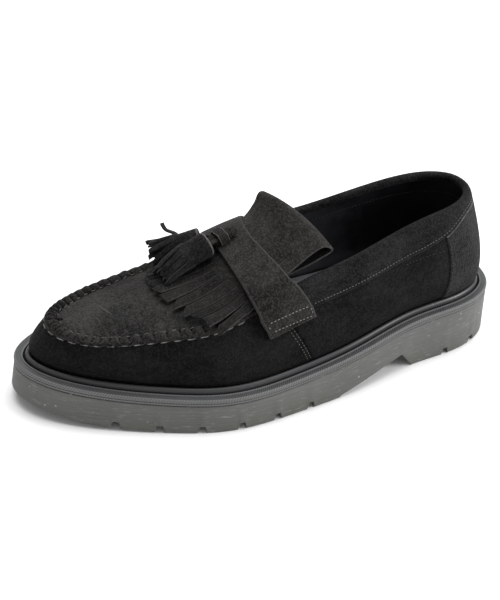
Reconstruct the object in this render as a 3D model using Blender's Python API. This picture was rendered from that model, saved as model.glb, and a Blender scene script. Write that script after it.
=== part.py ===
"""A left tassel loafer: chunky sole unit, welt, hollow upper with a raised apron seam, and its trimmings.

Frame: +Z up, the toe points to -Y and the outer (lateral) side of the foot is +X. The ground is Z = 0,
and the origin is under the middle of the sole. Sizes are in metres.
"""

from collections import namedtuple
from math import cos, pi, sin

import bmesh
import bpy
import numpy as np

# Sole unit
SOLE_LENGTH = 0.300
BALL_WIDTH = 0.110
SOLE_THICKNESS = 0.0215
HEEL_HEIGHT = 0.033
SEAT_END = 0.035
BALL_START = 0.185
TOE_SPRING = 0.0076
SPRING_START = 0.215
TOP_SPRING = 0.0059
TOP_SPRING_START = 0.190
SIDE_FLARE = 0.0018
TREAD_CHAMFER = 0.0012

# Heel, waist and lugs, measured along the sole from the back of the heel
HEEL_LENGTH = 0.0684
HEEL_BEVEL_LENGTH = 0.010
HEEL_BEVEL_RISE = 0.0035
BREAST_RUN = 0.0095
BREAST_RISE = 0.0115
WAIST_LENGTH = 0.046
TREAD_STEP = 0.0012
NOTCH_PITCH = 0.0221
NOTCH_WIDTH = 0.0050
NOTCH_DEPTH = 0.0042
NOTCH_SLOPE = 0.0010
HEEL_NOTCH = 0.0209
HEEL_NOTCHES = 2
FORE_NOTCH = 0.1447
FORE_NOTCHES = 6

# Welt: a flat strip stitched round the sole edge, with a bead against the upper
WELT_THICKNESS = 0.0040
WELT_SHELF = 0.0094
WELT_TUCK = 0.0055
REBATE_CLEARANCE = 0.0008
BEAD_WIDTH = 0.0032
BEAD_HEIGHT = 0.0027
GROOVE_WIDTH = 0.0008
GROOVE_DEPTH = 0.0007
EDGE_ROUND = 0.0007

# Upper
GAP = 0.0003
WALL = 0.0018
BACK_HEIGHT = 0.062
INSTEP_RISE = 0.018
FULLNESS = 0.0055
STAND = 0.0034
RIDGE_WIDTH = 0.0065
RIDGE_HEIGHT = 0.0022
CROWN_POWER = 2.2
THROAT = 5.0
TOE = 10.0

# Insole
INSOLE_THICKNESS = 0.0030
INSOLE_CLEARANCE = 0.0005

# Collar band and heel counter, sewn over the upper
BAND_THICKNESS = 0.0012
BAND_DROP = 0.0195
BAND_DROP_FRONT = 0.0120
BAND_TURN_IN = 0.0090
BAND_FRONT = 4.93
COUNTER_THICKNESS = 0.0010
COUNTER_FRONT = 2.25

# Saddle strap, tongue and fringe
STRAP_THICKNESS = 0.0022
LEATHER = 0.0014
LAYER = LEATHER + GAP
TONGUE_WIDTH = 0.057
FRINGE_STRIPS = 11
FRINGE_SLIT = 0.0009

# Tassels: along is a share of SOLE_LENGTH, around is 0 on the instep line and 1 at the outer rim, and
# lift is the height over the upper as a share of TASSEL_RADIUS
TASSEL_RADIUS = 0.0074
TASSEL_CAP = 0.0125
TASSEL_STRANDS = 10
TasselEnd = namedtuple("TasselEnd", "along around lift")
OUTER_TASSEL = (TasselEnd(0.6120, -0.16, 1.58), TasselEnd(0.7210, -0.08, 1.32))
INNER_TASSEL = (TasselEnd(0.6120, -0.57, 1.58), TasselEnd(0.7080, -0.74, 1.36))
THONG_WIDTH = 0.0040
THONG_THICKNESS = 0.0024

# The bundle of thong that holds the tassels, along the top of the strap: along is a share of
# SOLE_LENGTH, width and height are shares of KNOT_WIDTH and KNOT_THICKNESS, lift of the latter.
KNOT_WIDTH = 0.0092
KNOT_THICKNESS = 0.0052
KNOT_AROUND = -0.21
KnotRow = namedtuple("KnotRow", "along width height lift")
KNOT = (
    KnotRow(0.5525, 0.70, 0.55, 0.00),
    KnotRow(0.557, 0.80, 0.70, 0.00),
    KnotRow(0.5735, 0.80, 0.70, 0.00),
    KnotRow(0.575, 1.00, 1.00, 0.00),
    KnotRow(0.5895, 1.00, 1.00, 0.00),
    KnotRow(0.591, 0.80, 0.72, 0.10),
    KnotRow(0.597, 0.72, 0.66, 0.10),
)

# Sections from the back of the heel to the tip of the toe. along and rim_along are shares of
# SOLE_LENGTH; outer, inner, rim_outer and rim_inner are half widths as shares of BALL_WIDTH;
# rim is the height of the apron seam or collar over the welt, a share of BACK_HEIGHT; crown is the
# rise of the instep line over the rim, a share of INSTEP_RISE; bulge is a share of FULLNESS.
Section = namedtuple("Section", "along outer inner rim_along rim_outer rim_inner rim crown bulge")
SECTIONS = (
    Section(0.000, 0.000, 0.000, 0.075, 0.000, 0.000, 1.000, 0.95, 0.70),
    Section(0.027, 0.215, 0.223, 0.089, 0.105, 0.105, 1.000, 0.95, 0.70),
    Section(0.117, 0.341, 0.341, 0.143, 0.196, 0.196, 0.965, 0.95, 0.75),
    Section(0.233, 0.387, 0.350, 0.243, 0.234, 0.234, 0.903, 0.95, 0.85),
    Section(0.367, 0.483, 0.345, 0.373, 0.288, 0.275, 0.802, 1.00, 0.85),
    Section(0.500, 0.544, 0.375, 0.503, 0.335, 0.305, 0.730, 0.88, 0.85),
    Section(0.633, 0.571, 0.420, 0.640, 0.395, 0.315, 0.555, 0.67, 0.75),
    Section(0.750, 0.493, 0.410, 0.753, 0.362, 0.262, 0.490, 0.46, 0.65),
    Section(0.875, 0.345, 0.330, 0.858, 0.288, 0.192, 0.436, 0.25, 0.60),
    Section(0.965, 0.175, 0.188, 0.925, 0.155, 0.095, 0.392, 0.17, 0.55),
    Section(1.000, -0.014, 0.014, 0.945, 0.027, -0.027, 0.387, 0.15, 0.55),
)
LAST = len(SECTIONS) - 1
TURN = 2 * LAST
STEPS = 4

# Rows of the wall's facets, from just above the bead to the rim
WALL_ROWS = (0.0, 0.15, 0.30, 0.46, 0.62, 0.80, 1.0)

# Saddle strap: around is 0 on the instep line, 1 at the rim and 2 at the foot of the wall; along is
# the strap's middle as a share of SOLE_LENGTH; half is half its width as a share of its end width.
STRAP_END_WIDTH = 0.030
StrapRow = namedtuple("StrapRow", "around along half lift")
STRAP = (
    StrapRow(0.00, 0.568, 0.308, 1.00),
    StrapRow(0.12, 0.5677, 0.312, 1.00),
    StrapRow(0.28, 0.566, 0.325, 1.00),
    StrapRow(0.50, 0.562, 0.345, 1.00),
    StrapRow(0.85, 0.5507, 0.40, 1.00),
    StrapRow(1.00, 0.5415, 0.45, 1.00),
    StrapRow(1.12, 0.534, 0.49, 0.62),
    StrapRow(1.28, 0.524, 0.50, 0.50),
    StrapRow(1.35, 0.520, 0.50, 0.10),
    StrapRow(1.41, 0.517, 0.50, 0.00),
)

# The folded tongue behind the strap, from its under layer round the fold to its upper layer. back is
# how far the row lies behind the throat and up how high over the throat's top, as shares of
# TONGUE_REACH; half is a share of TONGUE_WIDTH; droop and sweep are how far both ends fall and lean
# back, lean and turn how far the outer end falls and the inner end comes forward.
TONGUE_REACH = 0.020
TongueRow = namedtuple("TongueRow", "back up half droop sweep lean turn")
TONGUE = (
    TongueRow(0.30, 0.12, 0.490, 0.45, 0.02, 0.08, 0.25),
    TongueRow(0.62, 0.20, 0.485, 0.30, 0.00, 0.15, 0.38),
    TongueRow(0.80, 0.30, 0.480, 0.22, -0.03, 0.20, 0.44),
    TongueRow(0.85, 0.41, 0.480, 0.20, -0.04, 0.22, 0.46),
    TongueRow(0.78, 0.52, 0.480, 0.20, -0.04, 0.21, 0.44),
    TongueRow(0.60, 0.57, 0.480, 0.24, -0.03, 0.17, 0.38),
    TongueRow(0.30, 0.46, 0.490, 0.40, 0.02, 0.10, 0.22),
)

BLACK_SUEDE = (0.022, 0.022, 0.024, 1.0)
BLACK_RUBBER = (0.075, 0.077, 0.080, 1.0)
BLACK_WELT = (0.045, 0.046, 0.048, 1.0)
BLACK_LINING = (0.012, 0.013, 0.016, 1.0)


def clear_scene():
    for thing in list(bpy.data.objects):
        bpy.data.objects.remove(thing, do_unlink=True)


def material(name, colour, roughness):
    made = bpy.data.materials.new(name)
    made.use_nodes = True
    shader = made.node_tree.nodes["Principled BSDF"]
    shader.inputs["Base Color"].default_value = colour
    shader.inputs["Roughness"].default_value = roughness
    shader.inputs["Metallic"].default_value = 0.0
    return made


def add_object(name, bm, finish, sharp_deg=50):
    """Turns a bmesh into a smooth-shaded object of that finish."""
    bmesh.ops.recalc_face_normals(bm, faces=bm.faces)
    mesh = bpy.data.meshes.new(name)
    bm.to_mesh(mesh)
    bm.free()
    mesh.shade_smooth()
    mesh.set_sharp_from_angle(angle=sharp_deg * pi / 180)
    mesh.materials.append(finish)
    made = bpy.data.objects.new(name, mesh)
    bpy.context.scene.collection.objects.link(made)
    return made


def solidify(obj, thickness):
    """Gives a sheet its thickness, on the side away from its normals."""
    modifier = obj.modifiers.new("thickness", "SOLIDIFY")
    modifier.thickness = thickness
    modifier.offset = -1.0
    modifier.use_even_offset = True
    modifier.use_rim = True
    return obj


def smoothstep(low, high, value):
    share = np.clip((np.asarray(value, float) - low) / (high - low), 0.0, 1.0)
    return share * share * (3 - 2 * share)


def closed_spline(rows, where):
    """A smooth closed curve through rows, one per whole number, at the places in where."""
    rows = np.asarray(rows, float)
    count = len(rows)
    system = 4 * np.eye(count) + np.roll(np.eye(count), 1, 0) + np.roll(np.eye(count), -1, 0)
    bend = np.linalg.solve(system, 6 * (np.roll(rows, 1, 0) - 2 * rows + np.roll(rows, -1, 0)))
    where = np.mod(where, count)
    before = np.floor(where).astype(int) % count
    after = (before + 1) % count
    share = (where - np.floor(where))[:, None]
    rest = 1 - share
    return (
        rest * rows[before]
        + share * rows[after]
        + ((rest**3 - rest) * bend[before] + (share**3 - share) * bend[after]) / 6
    )


def ring_rows(along, outer, inner, *both):
    """Rows round the shoe: up the outer side to the toe and back down the inner side."""
    up = [(outer(s), along(s), *[f(s) for f in both]) for s in SECTIONS]
    down = [(-inner(s), along(s), *[f(s) for f in both]) for s in SECTIONS[-2:0:-1]]
    return np.array(up + down)


OUTLINE_ROWS = ring_rows(
    lambda s: s.along * SOLE_LENGTH,
    lambda s: s.outer * BALL_WIDTH,
    lambda s: s.inner * BALL_WIDTH,
    lambda s: s.bulge * FULLNESS,
)
RIM_ROWS = ring_rows(
    lambda s: s.rim_along * SOLE_LENGTH,
    lambda s: s.rim_outer * BALL_WIDTH,
    lambda s: s.rim_inner * BALL_WIDTH,
    lambda s: s.rim * BACK_HEIGHT,
    lambda s: s.crown * INSTEP_RISE,
)


def outward(rows, where):
    """Unit normals of a ring, in plan, pointing out of the shoe."""
    step = 0.02
    run = closed_spline(rows, where + step)[:, :2] - closed_spline(rows, where - step)[:, :2]
    run /= np.linalg.norm(run, axis=1)[:, None]
    return np.stack([run[:, 1], -run[:, 0]], 1)


def outline(where, inset=0.0):
    """The sole's top edge in plan, moved in by inset."""
    return closed_spline(OUTLINE_ROWS, where)[:, :2] - outward(OUTLINE_ROWS, where) * inset


def sole_top(along):
    """Height of the welt's top over the ground, at a distance from the back of the heel."""
    lift = 0.5 + 0.5 * np.cos(pi * np.clip((along - SEAT_END) / (BALL_START - SEAT_END), 0, 1))
    toe = np.clip((along - TOP_SPRING_START) / (SOLE_LENGTH - TOP_SPRING_START), 0, None)
    return SOLE_THICKNESS + (HEEL_HEIGHT - SOLE_THICKNESS) * lift + TOP_SPRING * toe**2


def centre_across():
    edge = outline(np.linspace(0, TURN, 400), -SIDE_FLARE)[:, 0]
    return (edge.max() + edge.min()) / 2


CENTRE_ACROSS = centre_across()


def place(plan, height):
    """Points in the frame, from plan positions (across, along) and heights."""
    plan = np.asarray(plan, float)
    across = plan[..., 0] - CENTRE_ACROSS
    return np.stack([across, SOLE_LENGTH / 2 - plan[..., 1], np.broadcast_to(height, across.shape)], -1)


def add_row(bm, points):
    return [bm.verts.new(p) for p in points]


def join_rows(bm, first, second, closed):
    """Quads between two rows of vertices of the same length."""
    count = len(first)
    for i in range(count if closed else count - 1):
        j = (i + 1) % count
        corners = dict.fromkeys((first[i], first[j], second[j], second[i]))
        if len(corners) > 2:
            bm.faces.new(list(corners))


def close_ladder(bm, ring):
    """Closes a ring with cross strips between each outer vertex and the inner one facing it."""
    half = len(ring) // 2
    for i in range(half):
        corners = dict.fromkeys((ring[i], ring[i + 1], ring[-i - 1], ring[-i]))
        bm.faces.new(list(corners))


def matched_ring(stations):
    """Places round the ring for stations on the outer side, each faced by one on the inner side."""
    return np.array(list(stations) + [TURN - s for s in stations[-2:0:-1]])


def station_of(along):
    """The place on the outer side of the outline that lies this far along."""
    places = np.linspace(0, LAST, 800)
    return float(np.interp(along, closed_spline(OUTLINE_ROWS, places)[:, 1], places))


def tread_profile():
    """The side view of the tread as (along, height) corners, from the heel to the toe."""
    breast = HEEL_LENGTH
    arch = breast + BREAST_RUN
    waist_end = arch + WAIST_LENGTH
    corners = [(0.0, HEEL_BEVEL_RISE), (HEEL_BEVEL_LENGTH, 0.0)]
    notches = [HEEL_NOTCH + i * NOTCH_PITCH for i in range(HEEL_NOTCHES)]
    notches += [FORE_NOTCH + i * NOTCH_PITCH for i in range(FORE_NOTCHES)]
    half = NOTCH_WIDTH / 2
    for middle in notches:
        if middle > breast and len(corners) and corners[-1][0] < breast:
            corners += [(breast, 0.0), (arch, BREAST_RISE)]
            corners += [(arch + WAIST_LENGTH * 0.5, BREAST_RISE * 0.52 + TREAD_STEP * 0.5)]
            corners += [(waist_end, TREAD_STEP), (waist_end + TREAD_STEP, 0.0)]
        corners += [
            (middle - half, 0.0),
            (middle - half + NOTCH_SLOPE, NOTCH_DEPTH),
            (middle + half - NOTCH_SLOPE, NOTCH_DEPTH),
            (middle + half, 0.0),
        ]
    corners.append((SOLE_LENGTH, 0.0))
    return corners


def tread_height(along, corners):
    toe = np.clip((along - SPRING_START) / (SOLE_LENGTH - SPRING_START), 0, None)
    flat = np.interp(along, [c[0] for c in corners], [c[1] for c in corners])
    return flat + TOE_SPRING * toe**2


def build_outsole(finish):
    """The rubber sole and heel in one moulding, with cross channels and a rebate for the welt."""
    corners = tread_profile()
    stations = set(np.round(np.linspace(0, LAST, 37), 4))
    crisp = [station_of(c[0]) for c in corners[1:-1]]
    stations = [s for s in stations if all(abs(s - c) > 0.045 for c in crisp)]
    where = matched_ring(sorted(stations + crisp))
    along = closed_spline(OUTLINE_ROWS, where)[:, 1]
    low = tread_height(along, corners)
    rebate = WELT_SHELF + WELT_TUCK + REBATE_CLEARANCE
    shelf = outline(where, rebate - GAP / 2)
    plateau = outline(where, rebate)
    levels = (
        (outline(where, TREAD_CHAMFER - SIDE_FLARE), low),
        (outline(where, -SIDE_FLARE), low + TREAD_CHAMFER),
        (outline(where), sole_top(along) - WELT_THICKNESS - GAP),
        (shelf, sole_top(shelf[:, 1]) - WELT_THICKNESS - GAP),
        (plateau, sole_top(plateau[:, 1]) - GAP),
    )
    bm = bmesh.new()
    rings = [add_row(bm, place(plan, height)) for plan, height in levels]
    for first, second in zip(rings, rings[1:]):
        join_rows(bm, first, second, closed=True)
    close_ladder(bm, rings[0])
    close_ladder(bm, rings[-1])
    return add_object("outsole", bm, finish, sharp_deg=35)


def welt_section():
    """The welt's section as (inset from the edge, height over the welt's top)."""
    bead = WELT_SHELF - BEAD_WIDTH
    groove = bead - GROOVE_WIDTH
    arc = [pi * i / 4 for i in range(5)]
    points = [(0.0, -WELT_THICKNESS), (0.0, -EDGE_ROUND), (EDGE_ROUND, 0.0)]
    points += [(groove, 0.0)]
    points += [(groove + GROOVE_WIDTH / 2, -GROOVE_DEPTH)]
    points += [
        (bead + BEAD_WIDTH * (0.5 - 0.5 * cos(a)), BEAD_HEIGHT * (0.15 + 0.85 * sin(a))) for a in arc
    ]
    points += [(WELT_SHELF, 0.0), (WELT_SHELF + WELT_TUCK, 0.0), (WELT_SHELF + WELT_TUCK, -WELT_THICKNESS)]
    return points


def build_welt(finish):
    where = np.linspace(0, TURN, 64, endpoint=False)
    bm = bmesh.new()
    rings = []
    for inset, height in welt_section():
        plan = outline(where, inset)
        rings.append(add_row(bm, place(plan, sole_top(plan[:, 1]) + height)))
    for first, second in zip(rings, rings[1:] + rings[:1]):
        join_rows(bm, first, second, closed=True)
    return add_object("welt", bm, finish, sharp_deg=40)


def build_insole(finish):
    where = matched_ring(np.linspace(0, LAST, 31))
    edge = WELT_SHELF + GAP + WALL + INSOLE_CLEARANCE
    soft = 0.0012
    levels = (
        (edge, GAP),
        (edge, GAP + INSOLE_THICKNESS - soft),
        (edge + soft, GAP + INSOLE_THICKNESS),
    )
    bm = bmesh.new()
    rings = []
    for inset, height in levels:
        plan = outline(where, inset)
        rings.append(add_row(bm, place(plan, sole_top(plan[:, 1]) + height)))
    for first, second in zip(rings, rings[1:]):
        join_rows(bm, first, second, closed=True)
    close_ladder(bm, rings[0])
    close_ladder(bm, rings[-1])
    return add_object("insole", bm, finish)


def wall(where, share):
    """The upper's wall: share 0 is just above the bead, 1 the rim. Plan position and height."""
    where = np.asarray(where, float)
    rim = closed_spline(RIM_ROWS, where)
    foot = outline(where, WELT_SHELF + GAP)
    bulge = closed_spline(OUTLINE_ROWS, where)[:, 2] * np.sin(pi * np.clip(share, 0, 1) ** 0.68)
    push = outward(OUTLINE_ROWS, where) * bulge[:, None]
    share = np.broadcast_to(share, where.shape)[:, None]
    plan = foot + (rim[:, :2] - foot) * share + push
    low = sole_top(foot[:, 1]) + GAP + STAND
    high = sole_top(rim[:, 1]) + rim[:, 2]
    return plan, low + (high - low) * share[:, 0]


def apron(where, across):
    """The top of the foot: across is 1 at the outer rim, 0 on the instep line, -1 at the inner rim."""
    where = np.asarray(where, float)
    outer = closed_spline(RIM_ROWS, where)
    inner = closed_spline(RIM_ROWS, TURN - where)
    across = np.broadcast_to(across, where.shape)
    plan = (outer[:, :2] + inner[:, :2]) / 2 + (outer[:, :2] - inner[:, :2]) / 2 * across[:, None]
    rim = sole_top(outer[:, 1]) + outer[:, 2]
    return plan, rim + outer[:, 3] * (1 - np.abs(across) ** CROWN_POWER)


def skin(where, around):
    """A point of the upper's outer face: around runs from 2 at the outer foot to -2 at the inner."""
    if abs(around) <= 1:
        plan, height = apron([where], around)
    else:
        side = where if around > 0 else TURN - where
        plan, height = wall([side], 2 - abs(around))
    return place(plan, height)[0]


def on_skin(where, around, lift):
    """That point raised by lift along the surface's normal."""
    step = 0.02
    run = skin(where + step, around) - skin(where - step, around)
    over = skin(where, around + step) - skin(where, around - step)
    normal = np.cross(run, over)
    normal /= np.linalg.norm(normal)
    return skin(where, around) + normal * lift


def section_at(along):
    """The section whose rim lies this far along, between the throat and the toe."""
    places = np.linspace(THROAT - 1, TOE, 600)
    return float(np.interp(along, closed_spline(RIM_ROWS, places)[:, 1], places))


def ridge_ring(where, share):
    """The raised seam: share 0 is the rim, 1 where it meets the apron."""
    outer = closed_spline(RIM_ROWS, where)
    facing = closed_spline(RIM_ROWS, TURN - where)
    half = np.linalg.norm(outer[:, :2] - facing[:, :2], axis=1) / 2
    out = outward(RIM_ROWS, where)
    across = np.clip(1 - share * RIDGE_WIDTH / np.maximum(half, 1e-6), 0, 1)
    height = sole_top(outer[:, 1]) + outer[:, 2] + outer[:, 3] * (1 - across**CROWN_POWER)
    from_throat = np.minimum(where, TURN - where)
    bump = RIDGE_HEIGHT * sin(pi * share) * smoothstep(THROAT + 0.55, THROAT + 0.95, from_throat)
    plan = outer[:, :2] - out * (share * RIDGE_WIDTH) + out * (0.5 * bump)[:, None]
    return plan, height + 0.87 * bump


def build_upper(finish):
    """The hollow upper in one shell: walls, the raised apron seam and the apron."""
    places = np.arange(TURN * STEPS) / STEPS
    bm = bmesh.new()
    plan, height = wall(places, 0.0)
    rows = [add_row(bm, place(plan, height - STAND)), add_row(bm, place(plan, height))]
    for share in WALL_ROWS[1:]:
        rows.append(add_row(bm, place(*wall(places, share))))
    for first, second in zip(rows, rows[1:]):
        join_rows(bm, first, second, closed=True)
    start = int(THROAT * STEPS)
    front = places[start : len(places) - start + 1]
    edge = rows[-1][start : len(places) - start + 1]
    for share in (0.25, 0.5, 0.75, 1.0):
        ring = add_row(bm, place(*ridge_ring(front, share)))
        join_rows(bm, edge, ring, closed=False)
        edge = ring
    plan, height = ridge_ring(front, 1.0)
    middle = len(front) // 2
    cells = 8
    previous = None
    for i in range(middle + 1):
        if i == middle:
            strip = [edge[middle]]
        else:
            top = closed_spline(RIM_ROWS, front[i : i + 1])[0]
            crown = sole_top(top[1]) + top[2] + top[3] - height[i]
            strip = [edge[i]]
            for k in range(1, cells):
                across = 1 - 2 * k / cells
                spot = plan[i] * (1 + across) / 2 + plan[-1 - i] * (1 - across) / 2
                rise = crown * (1 - abs(across) ** CROWN_POWER)
                strip.append(bm.verts.new(place(spot, height[i] + rise)))
            strip.append(edge[-1 - i])
        if previous is not None and len(strip) > 1:
            join_rows(bm, previous, strip, closed=False)
        elif previous is not None:
            for first, second in zip(previous, previous[1:]):
                bm.faces.new((first, second, strip[0]))
        previous = strip
    return solidify(add_object("upper", bm, finish, sharp_deg=60), WALL)


def facet(where, share):
    """A point on the wall's facets, and the unit vectors out of them and up them, in the frame."""
    row = min(max(i for i, s in enumerate(WALL_ROWS) if s <= share), len(WALL_ROWS) - 2)
    low_share, high_share = WALL_ROWS[row : row + 2]
    part = (share - low_share) / (high_share - low_share)
    ends = []
    for place_on_ring in (where, where - 1 / STEPS, where + 1 / STEPS):
        low = place(*wall([place_on_ring], low_share))[0]
        high = place(*wall([place_on_ring], high_share))[0]
        ends.append((low, high))
    spots = [low + (high - low) * part for low, high in ends]
    up = ends[0][1] - ends[0][0]
    up /= np.linalg.norm(up)
    out = np.cross(up, spots[2] - spots[1])
    out /= np.linalg.norm(out)
    return spots[0], out, up


def band_edge(where):
    """The share of the wall at which the collar band's lower edge lies."""
    rim = closed_spline(RIM_ROWS, np.array([where]))[0]
    drop = BAND_DROP + (BAND_DROP_FRONT - BAND_DROP) * abs(where) / BAND_FRONT
    return 1 - drop / (rim[2] - STAND)


def band_section(where):
    """The collar band's outer face at one place: up the wall, over the rim and down inside."""
    stand_off = GAP + BAND_THICKNESS
    points = []
    for share in (band_edge(where), WALL_ROWS[-2]):
        spot, out, _ = facet(where, share)
        points.append(spot + out * stand_off)
    spot, out, up = facet(where, 1.0)
    radius = WALL / 2 + stand_off
    middle = spot - out * (WALL / 2)
    for i in range(5):
        angle = pi * i / 4
        points.append(middle + out * radius * cos(angle) + up * (radius * sin(angle) + GAP))
    points.append(middle - out * radius - up * BAND_TURN_IN)
    return points


def build_collar_band(finish):
    reach = int(BAND_FRONT * STEPS)
    bm = bmesh.new()
    places = [BAND_FRONT, *(i / STEPS for i in range(reach, -reach - 1, -1)), -BAND_FRONT]
    rows = [add_row(bm, band_section(where)) for where in places]
    for first, second in zip(rows, rows[1:]):
        join_rows(bm, first, second, closed=False)
    return solidify(orient(add_object("collar_band", bm, finish)), BAND_THICKNESS)


def orient(obj, first=0):
    """Turns a sheet's faces so that they point away from the inside of the shoe from a face onwards."""
    mesh = obj.data
    inside = np.array([0.0, 0.0, HEEL_HEIGHT + BACK_HEIGHT * 0.4])
    facing = 0.0
    for face in list(mesh.polygons)[first:]:
        way = np.array(face.center) - inside
        facing += face.area * float(np.dot(np.array(face.normal), way))
    if facing < 0:
        mesh.flip_normals()
    return obj


def build_heel_counter(finish):
    reach = int(COUNTER_FRONT * STEPS)
    stand_off = GAP + COUNTER_THICKNESS
    bm = bmesh.new()
    rows = []
    for i in range(reach, -reach - 1, -1):
        where = i / STEPS
        points = []
        for share in (0.004, *WALL_ROWS[1:5], band_edge(where) - 0.012):
            spot, out, _ = facet(where, share)
            points.append(spot + out * stand_off)
        rows.append(add_row(bm, points))
    for first, second in zip(rows, rows[1:]):
        join_rows(bm, first, second, closed=False)
    return solidify(orient(add_object("heel_counter", bm, finish)), COUNTER_THICKNESS)


def strap_at(around):
    """The strap's middle section, half width and lift over the upper, at a place round the foot."""
    rows = np.array([(r.around, r.along, r.half, r.lift) for r in STRAP])
    columns = [np.interp(abs(around), rows[:, 0], rows[:, i]) for i in (1, 2, 3)]
    middle = columns[0] * SOLE_LENGTH
    half = columns[1] * STRAP_END_WIDTH
    lift = GAP + columns[2] * (2 * LAYER + 2 * GAP)
    return section_at(middle - half), section_at(middle + half), lift


def build_saddle_strap(finish):
    reach = STRAP[-1].around
    count = 33
    bm = bmesh.new()
    rows = []
    for i in range(count):
        around = reach * (1 - 2 * i / (count - 1))
        low, high, lift = strap_at(around)
        points = []
        for k in range(4):
            where = low + (high - low) * k / 3
            points.append(on_skin(where, around, lift + STRAP_THICKNESS))
        rows.append(add_row(bm, points))
    for first, second in zip(rows, rows[1:]):
        join_rows(bm, first, second, closed=False)
    return solidify(orient(add_object("saddle_strap", bm, finish)), STRAP_THICKNESS)


def tongue_rows(columns):
    """Rows of points of the tongue's outer face, from under the strap round the fold and back."""
    throat = skin(THROAT, 0.0)
    half_skin = float(np.linalg.norm(skin(THROAT, 1.0) - skin(THROAT, -1.0))) / 2
    spread = TONGUE_WIDTH / 2 / half_skin
    rows = []
    for where in (THROAT + 0.5, THROAT + 0.25, THROAT):
        rows.append([on_skin(where, spread * c, 2 * GAP) for c in columns])
    for row in TONGUE:
        points = []
        for c in columns:
            fall = row.droop * c * c + row.lean * c
            points.append(
                throat
                + np.array(
                    [
                        2 * row.half * c * TONGUE_WIDTH / 2,
                        (row.back + row.sweep * c * c + row.turn * c) * TONGUE_REACH,
                        (row.up - fall) * TONGUE_REACH,
                    ]
                )
            )
        rows.append(points)
    return rows


def fringe_place(column, reach):
    """A place on the fringe: column runs from -1 to 1 across it, reach from 0 at the strap to 1."""
    root = THROAT + 0.80 - 0.28 * column * column
    tip = THROAT + 1.80 - 0.80 * column * column
    around = column * (0.95 + 0.10 * reach)
    over_seam = RIDGE_HEIGHT * float(smoothstep(0.68, 0.86, abs(around)) * smoothstep(0.3, 0.6, reach))
    return root + (tip - root) * reach, around, 2 * GAP + LAYER + LEATHER + over_seam


def build_kiltie(finish):
    """The tongue folded over the strap's back and its fringe in front of it, in one piece."""
    lift = 2 * GAP + LAYER + LEATHER
    slit = FRINGE_SLIT / TONGUE_WIDTH
    edges = []
    for i in range(FRINGE_STRIPS):
        edges += [-1 + 2 * i / FRINGE_STRIPS + slit, -1 + 2 * (i + 1) / FRINGE_STRIPS - slit]
    bm = bmesh.new()
    columns = [c for c in edges]
    columns[0], columns[-1] = -1.0, 1.0
    rows = [add_row(bm, points) for points in tongue_rows(columns)]
    half_skin = float(np.linalg.norm(skin(THROAT, 1.0) - skin(THROAT, -1.0))) / 2
    spread = TONGUE_WIDTH / 2 / half_skin
    for where in (THROAT + 0.05, THROAT + 0.25, THROAT + 0.48):
        rows.append(add_row(bm, [on_skin(where, spread * c, lift) for c in columns]))
    for reach in (0.0, 0.30):
        rows.append(add_row(bm, [on_skin(*fringe_place(c, reach)) for c in columns]))
    for first, second in zip(rows, rows[1:]):
        join_rows(bm, first, second, closed=False)
    root = rows[-1]
    for i in range(FRINGE_STRIPS):
        pair = root[2 * i : 2 * i + 2]
        ends = (columns[2 * i], columns[2 * i + 1])
        for reach in (0.5, 0.72, 0.9):
            row = [bm.verts.new(on_skin(*fringe_place(c, reach))) for c in ends]
            bm.faces.new((pair[0], pair[1], row[1], row[0]))
            pair = row
        middle = sum(ends) / 2
        tip = bm.verts.new(on_skin(*fringe_place(middle, 1.0)))
        bm.faces.new((pair[0], pair[1], tip))
    strip_faces = 4 * FRINGE_STRIPS
    return solidify(orient(add_object("kiltie", bm, finish), -strip_faces), LEATHER)


def frame_along(direction):
    """Unit vectors along, across (level) and above a direction."""
    along = np.array(direction, float)
    along /= np.linalg.norm(along)
    across = np.cross(along, (0.0, 0.0, 1.0))
    across /= np.linalg.norm(across)
    return along, across, np.cross(across, along)


def tassel_ends(ends):
    """The middle of a tassel's top and the middle of its tip, in the frame."""
    spots = []
    for end in ends:
        where = section_at(end.along * SOLE_LENGTH)
        spots.append(on_skin(where, end.around, end.lift * TASSEL_RADIUS))
    return spots


def build_tassel(name, ends, finish):
    """A rolled fringe: a solid cap with strands that part below it and flatten on the vamp."""
    cap, tip = tassel_ends(ends)
    along, across, above = frame_along(tip - cap)
    full = float(np.linalg.norm(tip - cap))
    bm = bmesh.new()
    count = TASSEL_STRANDS

    def ring_point(k, radius, reach, flat=1.0):
        angle = 2 * pi * k / count
        return cap + along * reach + across * radius * cos(angle) + above * radius * flat * sin(angle)

    rings = []
    for share, reach in ((0.60, 0.0), (0.94, 0.0006), (1.0, 0.0020), (1.0, TASSEL_CAP)):
        rings.append(add_row(bm, [ring_point(k, TASSEL_RADIUS * share, reach) for k in range(count)]))
    core = add_row(bm, [ring_point(k, TASSEL_RADIUS * 0.60, TASSEL_CAP) for k in range(count)])
    bm.faces.new(rings[0])
    for first, second in zip(rings, rings[1:]):
        join_rows(bm, first, second, closed=True)
    bm.faces.new(core)
    for k in range(count):
        following = (k + 1) % count
        face = [rings[-1][k], rings[-1][following], core[following], core[k]]
        length = full * (1 - 0.07 * (k % 3))
        for share in (0.12, 0.55, 1.0):
            reach = TASSEL_CAP + (length - TASSEL_CAP) * share
            flat = 1 - 0.40 * share
            swell = 1 + 0.18 * share
            step = []
            for which, radius in ((0, 1.0), (1, 1.0), (1, 0.64), (0, 0.64)):
                side = k + (0.09 if which == 0 else 0.91)
                step.append(bm.verts.new(ring_point(side, TASSEL_RADIUS * radius * swell, reach, flat)))
            for a in range(4):
                b = (a + 1) % 4
                bm.faces.new((face[a], face[b], step[b], step[a]))
            face = step
        bm.faces.new(face)
    return add_object(name, bm, finish)


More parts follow.
